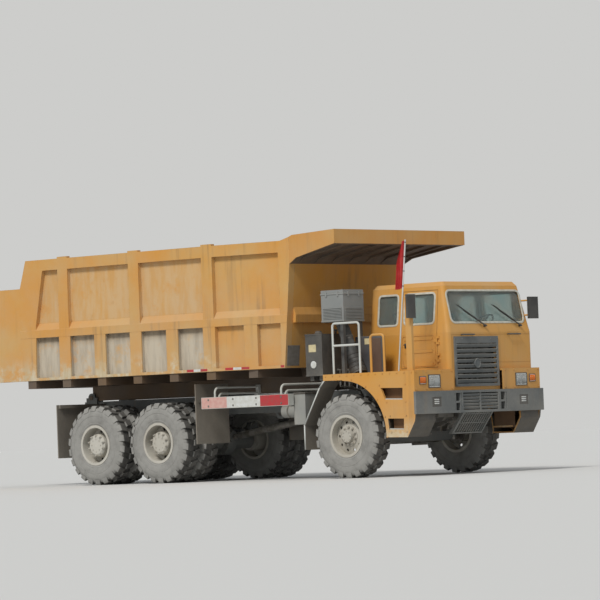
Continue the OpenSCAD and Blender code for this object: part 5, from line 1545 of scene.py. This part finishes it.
shape = bmesh.new()
for index in range(96):
    y = -0.425 + index * 0.0103
    add_block(shape, (CORE_X, y, 1.475), (CORE_X + 0.0085, y + 0.0042, 2.135))
for index in range(12):
    z = 1.50 + index * 0.055
    add_block(shape, (CORE_X, -0.430, z), (CORE_X + 0.0105, 0.562, z + 0.006))
finish_piece(shape, "radiator_core", "bare_steel")
shape = bmesh.new()
for z0, z1 in ((2.130, 2.170), (1.441, 1.480)):
    add_block(shape, (CORE_X, -0.434, z0), (CORE_X + 0.016, 0.566, z1), 0.005)
finish_piece(shape, "radiator_tanks", "black_paint")
shape = bmesh.new()
boss_rim = [(-0.002, 0.060), (0.006, 0.063), (0.009, 0.070), (0.006, 0.077), (-0.002, 0.079)]
add_turned(shape, boss_rim, (GRILLE_X + 0.009, 0.066, 1.7825), (1, 0, 0), 48)
for y in (-0.468, 0.600):
    for z in (1.43, 1.62, 1.82, 2.02, 2.195):
        add_bolt(shape, (GRILLE_X, y, z), (1, 0, 0), 0.008)
for y in (-0.30, 0.43):
    add_bolt(shape, (GRILLE_X, y, 2.180), (1, 0, 0), 0.008)
finish_piece(shape, "grille_trim", "dark_paint")
print("radiator core and grille trim")

# %% [markdown]
# ## Mud flaps and guards
# The mud flaps hang from a clamping bar by a row of bolts. The sloping guards behind the
# front wheels have a pale round bar along their worn outer edge, and a small bracket on top.

# %% Flap bolts and guard edges
EDGE_LINE = ((2.810, 1.650), (2.808, 1.606), (2.685, 1.485), (2.325, 0.885), (2.325, 0.485))

shape = bmesh.new()
for side in (-1, 1):
    for step in range(6):
        y = side * (0.84 + step * 0.128)
        add_bolt(shape, (-0.135, y, 1.330), (-1, 0, 0), 0.012)
        add_bolt(shape, (-3.365, y, 1.370), (-1, 0, 0), 0.012)
        add_bolt(shape, (-0.075, y, 1.330), (1, 0, 0), 0.012)
finish_piece(shape, "flap_bolts", "bare_steel")
shape = bmesh.new()
for side in (-1, 1):
    add_bent_rod(shape, [Vector((x, side * 1.538, z)) for x, z in EDGE_LINE], 0.012, 12)
    add_block(shape, (2.770, side * 1.50 - 0.03, 1.630), (2.815, side * 1.50 + 0.03, 1.658), 0.004)
finish_piece(shape, "guard_edges", "pale_paint", smooth=True)
print("flap bolts and guard edges")

# %% [markdown]
# ## Springs, axles and shafts
# Each spring pack is clamped to its axle by two pairs of U-bolts with a plate above, and its
# leaves are held in line by clips. Round flanges bolt the propeller shafts to the driven
# axles, each of which has a ring of cover bolts and a brake chamber on either side.

# %% U-bolts, flanges and brake chambers
SPRING_Y = 0.405
FLANGE = [(-0.018, 0.0), (-0.018, 0.098), (0.004, 0.098), (0.004, 0.0)]
CHAMBER_Y = 0.580
CHAMBER = [(-0.080, 0.0), (-0.080, 0.070), (-0.050, 0.082), (0.0, 0.084), (0.004, 0.094),
           (0.016, 0.094), (0.020, 0.080), (0.060, 0.070), (0.066, 0.0)]


def add_u_bolt(shape, x, y, half, low, high, radius=0.014):
    for edge in (-half, half):
        add_rod(shape, (x, y + edge, low), (x, y + edge, high), radius, 12)
        add_rod(shape, (x, y + edge, low - 0.002), (x, y + edge, low + 0.026), radius * 1.9, 6)
    add_rod(shape, (x, y - half, high), (x, y + half, high), radius, 12)
    for edge in (-half, half):
        bmesh.ops.create_uvsphere(shape, u_segments=12, v_segments=8, radius=radius,
                                  matrix=Matrix.Translation((x, y + edge, high)))


shape = bmesh.new()
for side in (-1, 1):
    for x in (3.157, 3.313):
        add_u_bolt(shape, x, side * SPRING_Y, 0.056, 0.655, 0.852)
    for x in (2.86, 3.61):
        add_block(shape, (x - 0.018, side * SPRING_Y - 0.0465, 0.784),
                  (x + 0.018, side * SPRING_Y + 0.0465, 0.862), 0.003)
    for x in (-1.80, -1.63):
        add_u_bolt(shape, x, side * SPRING_Y, 0.056, 0.850, 0.995, 0.016)
finish_piece(shape, "spring_u_bolts", "bare_steel")
shape = bmesh.new()
for x in (MID_X, REAR_X):
    for out in (-1, 1):
        centre = Vector((x + out * 0.270, 0, 0.740))
        add_turned(shape, FLANGE, centre, (out, 0, 0), 32)
        for index in range(8):
            angle = math.tau * index / 8
            reach = Vector((-out * 0.020, 0.083 * math.cos(angle), 0.083 * math.sin(angle)))
            add_bolt(shape, centre + reach, (-out, 0, 0), 0.009)
    for side in (-1, 1):
        for index in range(14):
            angle = math.tau * index / 14
            reach = Vector((0.225 * math.cos(angle), side * 0.100, 0.225 * math.sin(angle)))
            add_bolt(shape, Vector((x, 0, WHEEL_HEIGHT)) + reach, (0, side, 0))
        add_turned(shape, CHAMBER, (x + 0.20, side * CHAMBER_Y, 0.900), (1, 0, 0), 28)
        add_block(shape, (x + 0.09, side * CHAMBER_Y - 0.05, 0.740),
                  (x + 0.125, side * CHAMBER_Y + 0.05, 0.980), 0.006)
finish_piece(shape, "axle_flanges_and_brakes", "dark_paint")
print("springs, axles and shafts")

# %% [markdown]
# ## Dump body welds and plate
# The ribs are folded plate, welded along both edges, and the weld is left as a rough bead.
# A bead is a thin rod whose thickness wanders a little. The blank plate on the headboard's
# edge stays as in the photograph, with its four bolts.

# %% Weld beads and blank plate
def add_bead(shape, start, end, radius=0.007, seed=0.0):
    start, end = Vector(start), Vector(end)
    steps = max(2, int((end - start).length / 0.05))
    along = (end - start).normalized()
    turn = along.to_track_quat("Z", "Y").to_matrix()
    rings = []
    for index in range(steps + 1):
        wander = math.sin(2.3 * index + seed) * math.cos(1.1 * index + 2 * seed)
        wide = radius * (1.0 + 0.35 * wander)
        middle = start + along * ((end - start).length * index / steps)
        ring = [Vector((wide * math.cos(angle), wide * math.sin(angle), 0))
                for angle in (math.tau * corner / 5 for corner in range(5))]
        rings.append([shape.verts.new(middle + turn @ point) for point in ring])
    for near, far in zip(rings, rings[1:]):
        for index in range(5):
            after = (index + 1) % 5
            shape.faces.new((near[index], near[after], far[after], far[index]))
    shape.faces.new(rings[0][::-1])
    shape.faces.new(rings[-1])


RIB_X0, RIB_PITCH = -3.905, 0.854
LOW_RIB_HALF, HIGH_RIB_HALF = 0.135, 0.120
HEAD_SLANT = 0.164 / 1.703

for side, word in SIDES:
    shape = bmesh.new()
    panel = side * PANEL_FACE
    for rib in range(6):
        middle = RIB_X0 + rib * RIB_PITCH
        for edge in (-LOW_RIB_HALF, LOW_RIB_HALF):
            x = middle + edge
            if -3.7 < x < 0.40:
                add_bead(shape, (x, panel, 1.895), (x, panel, BEAM_LOW), seed=rib + edge)
    for rib in (1, 3):
        middle = RIB_X0 + rib * RIB_PITCH
        for edge in (-HIGH_RIB_HALF, HIGH_RIB_HALF):
            x = middle + edge
            add_bead(shape, (x, panel, BEAM_HIGH), (x, panel, 3.735), seed=rib + edge)
    add_bead(shape, (-3.60, panel, BEAM_LOW), (0.43, panel, BEAM_LOW), 0.006, 1.0)
    finish_piece(shape, "weld_beads_" + word, "body_paint", BODY_PANELS, body="dump_body",
                 smooth=True)
shape = bmesh.new()
add_block(shape, (1.896, -1.425, 1.870), (1.903, -1.125, 2.205), 0.002,
          Matrix.Rotation(math.atan(HEAD_SLANT), 4, "Y"))
finish_piece(shape, "blank_body_plate", "grey_metal", GREY_PLATE, body="dump_body")
shape = bmesh.new()
for y in (-1.41, -1.14):
    for z in (1.885, 2.19):
        x = 1.903 + HEAD_SLANT * (z - 2.0375)
        add_bolt(shape, (x, y, z), (1, 0, 0), 0.007)
finish_piece(shape, "body_plate_bolts", "bare_steel", body="dump_body")
print("welds and plate")

# %% [markdown]
# ## Cab interior
# Through the glass show the instrument hood with its round dials, left blank here, the
# column levers, a gear lever with a ball, and the pedals below the dashboard.

# %% Instruments, levers and pedals
DIAL_YS = (0.74, 0.86, 1.02, 1.14)
DIAL_FACE = (-0.991, 0, 0.132)
DIAL_RING = [(-0.004, 0.030), (-0.004, 0.040), (0.008, 0.043), (0.012, 0.038), (0.006, 0.034),
             (0.006, 0.030)]
DIAL = [(0.0, 0.0), (0.0, 0.031), (0.0035, 0.031), (0.0045, 0.0)]
LEVER_BOOT = [(0.0, 0.02), (0.0, 0.085), (0.03, 0.078), (0.05, 0.055), (0.07, 0.050),
              (0.09, 0.030), (0.10, 0.02)]

shape = bmesh.new()
add_block(shape, (4.190, 0.66, 2.295), (4.400, 1.22, 2.335), 0.014)
for y in DIAL_YS:
    add_turned(shape, DIAL_RING, (4.246, y, 2.185), DIAL_FACE, 28)
for y in (0.75, 1.13):
    add_rod(shape, (4.170, 0.94, 2.385), (4.145, y, 2.410), 0.007, 10)
add_rod(shape, (3.98, 0.50, 1.72), (3.90, 0.50, 2.26), 0.011, 12)
bmesh.ops.create_uvsphere(shape, u_segments=18, v_segments=12, radius=0.030,
                          matrix=Matrix.Translation((3.90, 0.50, 2.28)))
add_turned(shape, LEVER_BOOT, (3.975, 0.50, 1.73), (-0.15, 0, 0.99), 20)
for y in (0.78, 0.94, 1.14):
    add_block(shape, (4.270, y - 0.035, 1.86), (4.285, y + 0.035, 1.96), 0.005,
              Matrix.Rotation(math.radians(-25), 4, "Y"))
    add_rod(shape, (4.285, y, 1.92), (4.420, y, 2.02), 0.009, 10)
finish_piece(shape, "instrument_hood", "black_plastic")
shape = bmesh.new()
for y in DIAL_YS:
    add_turned(shape, DIAL, (4.246, y, 2.185), DIAL_FACE, 24)
finish_piece(shape, "blank_dials", "pale_paint", TAPE_WHITE)
print("cab interior")
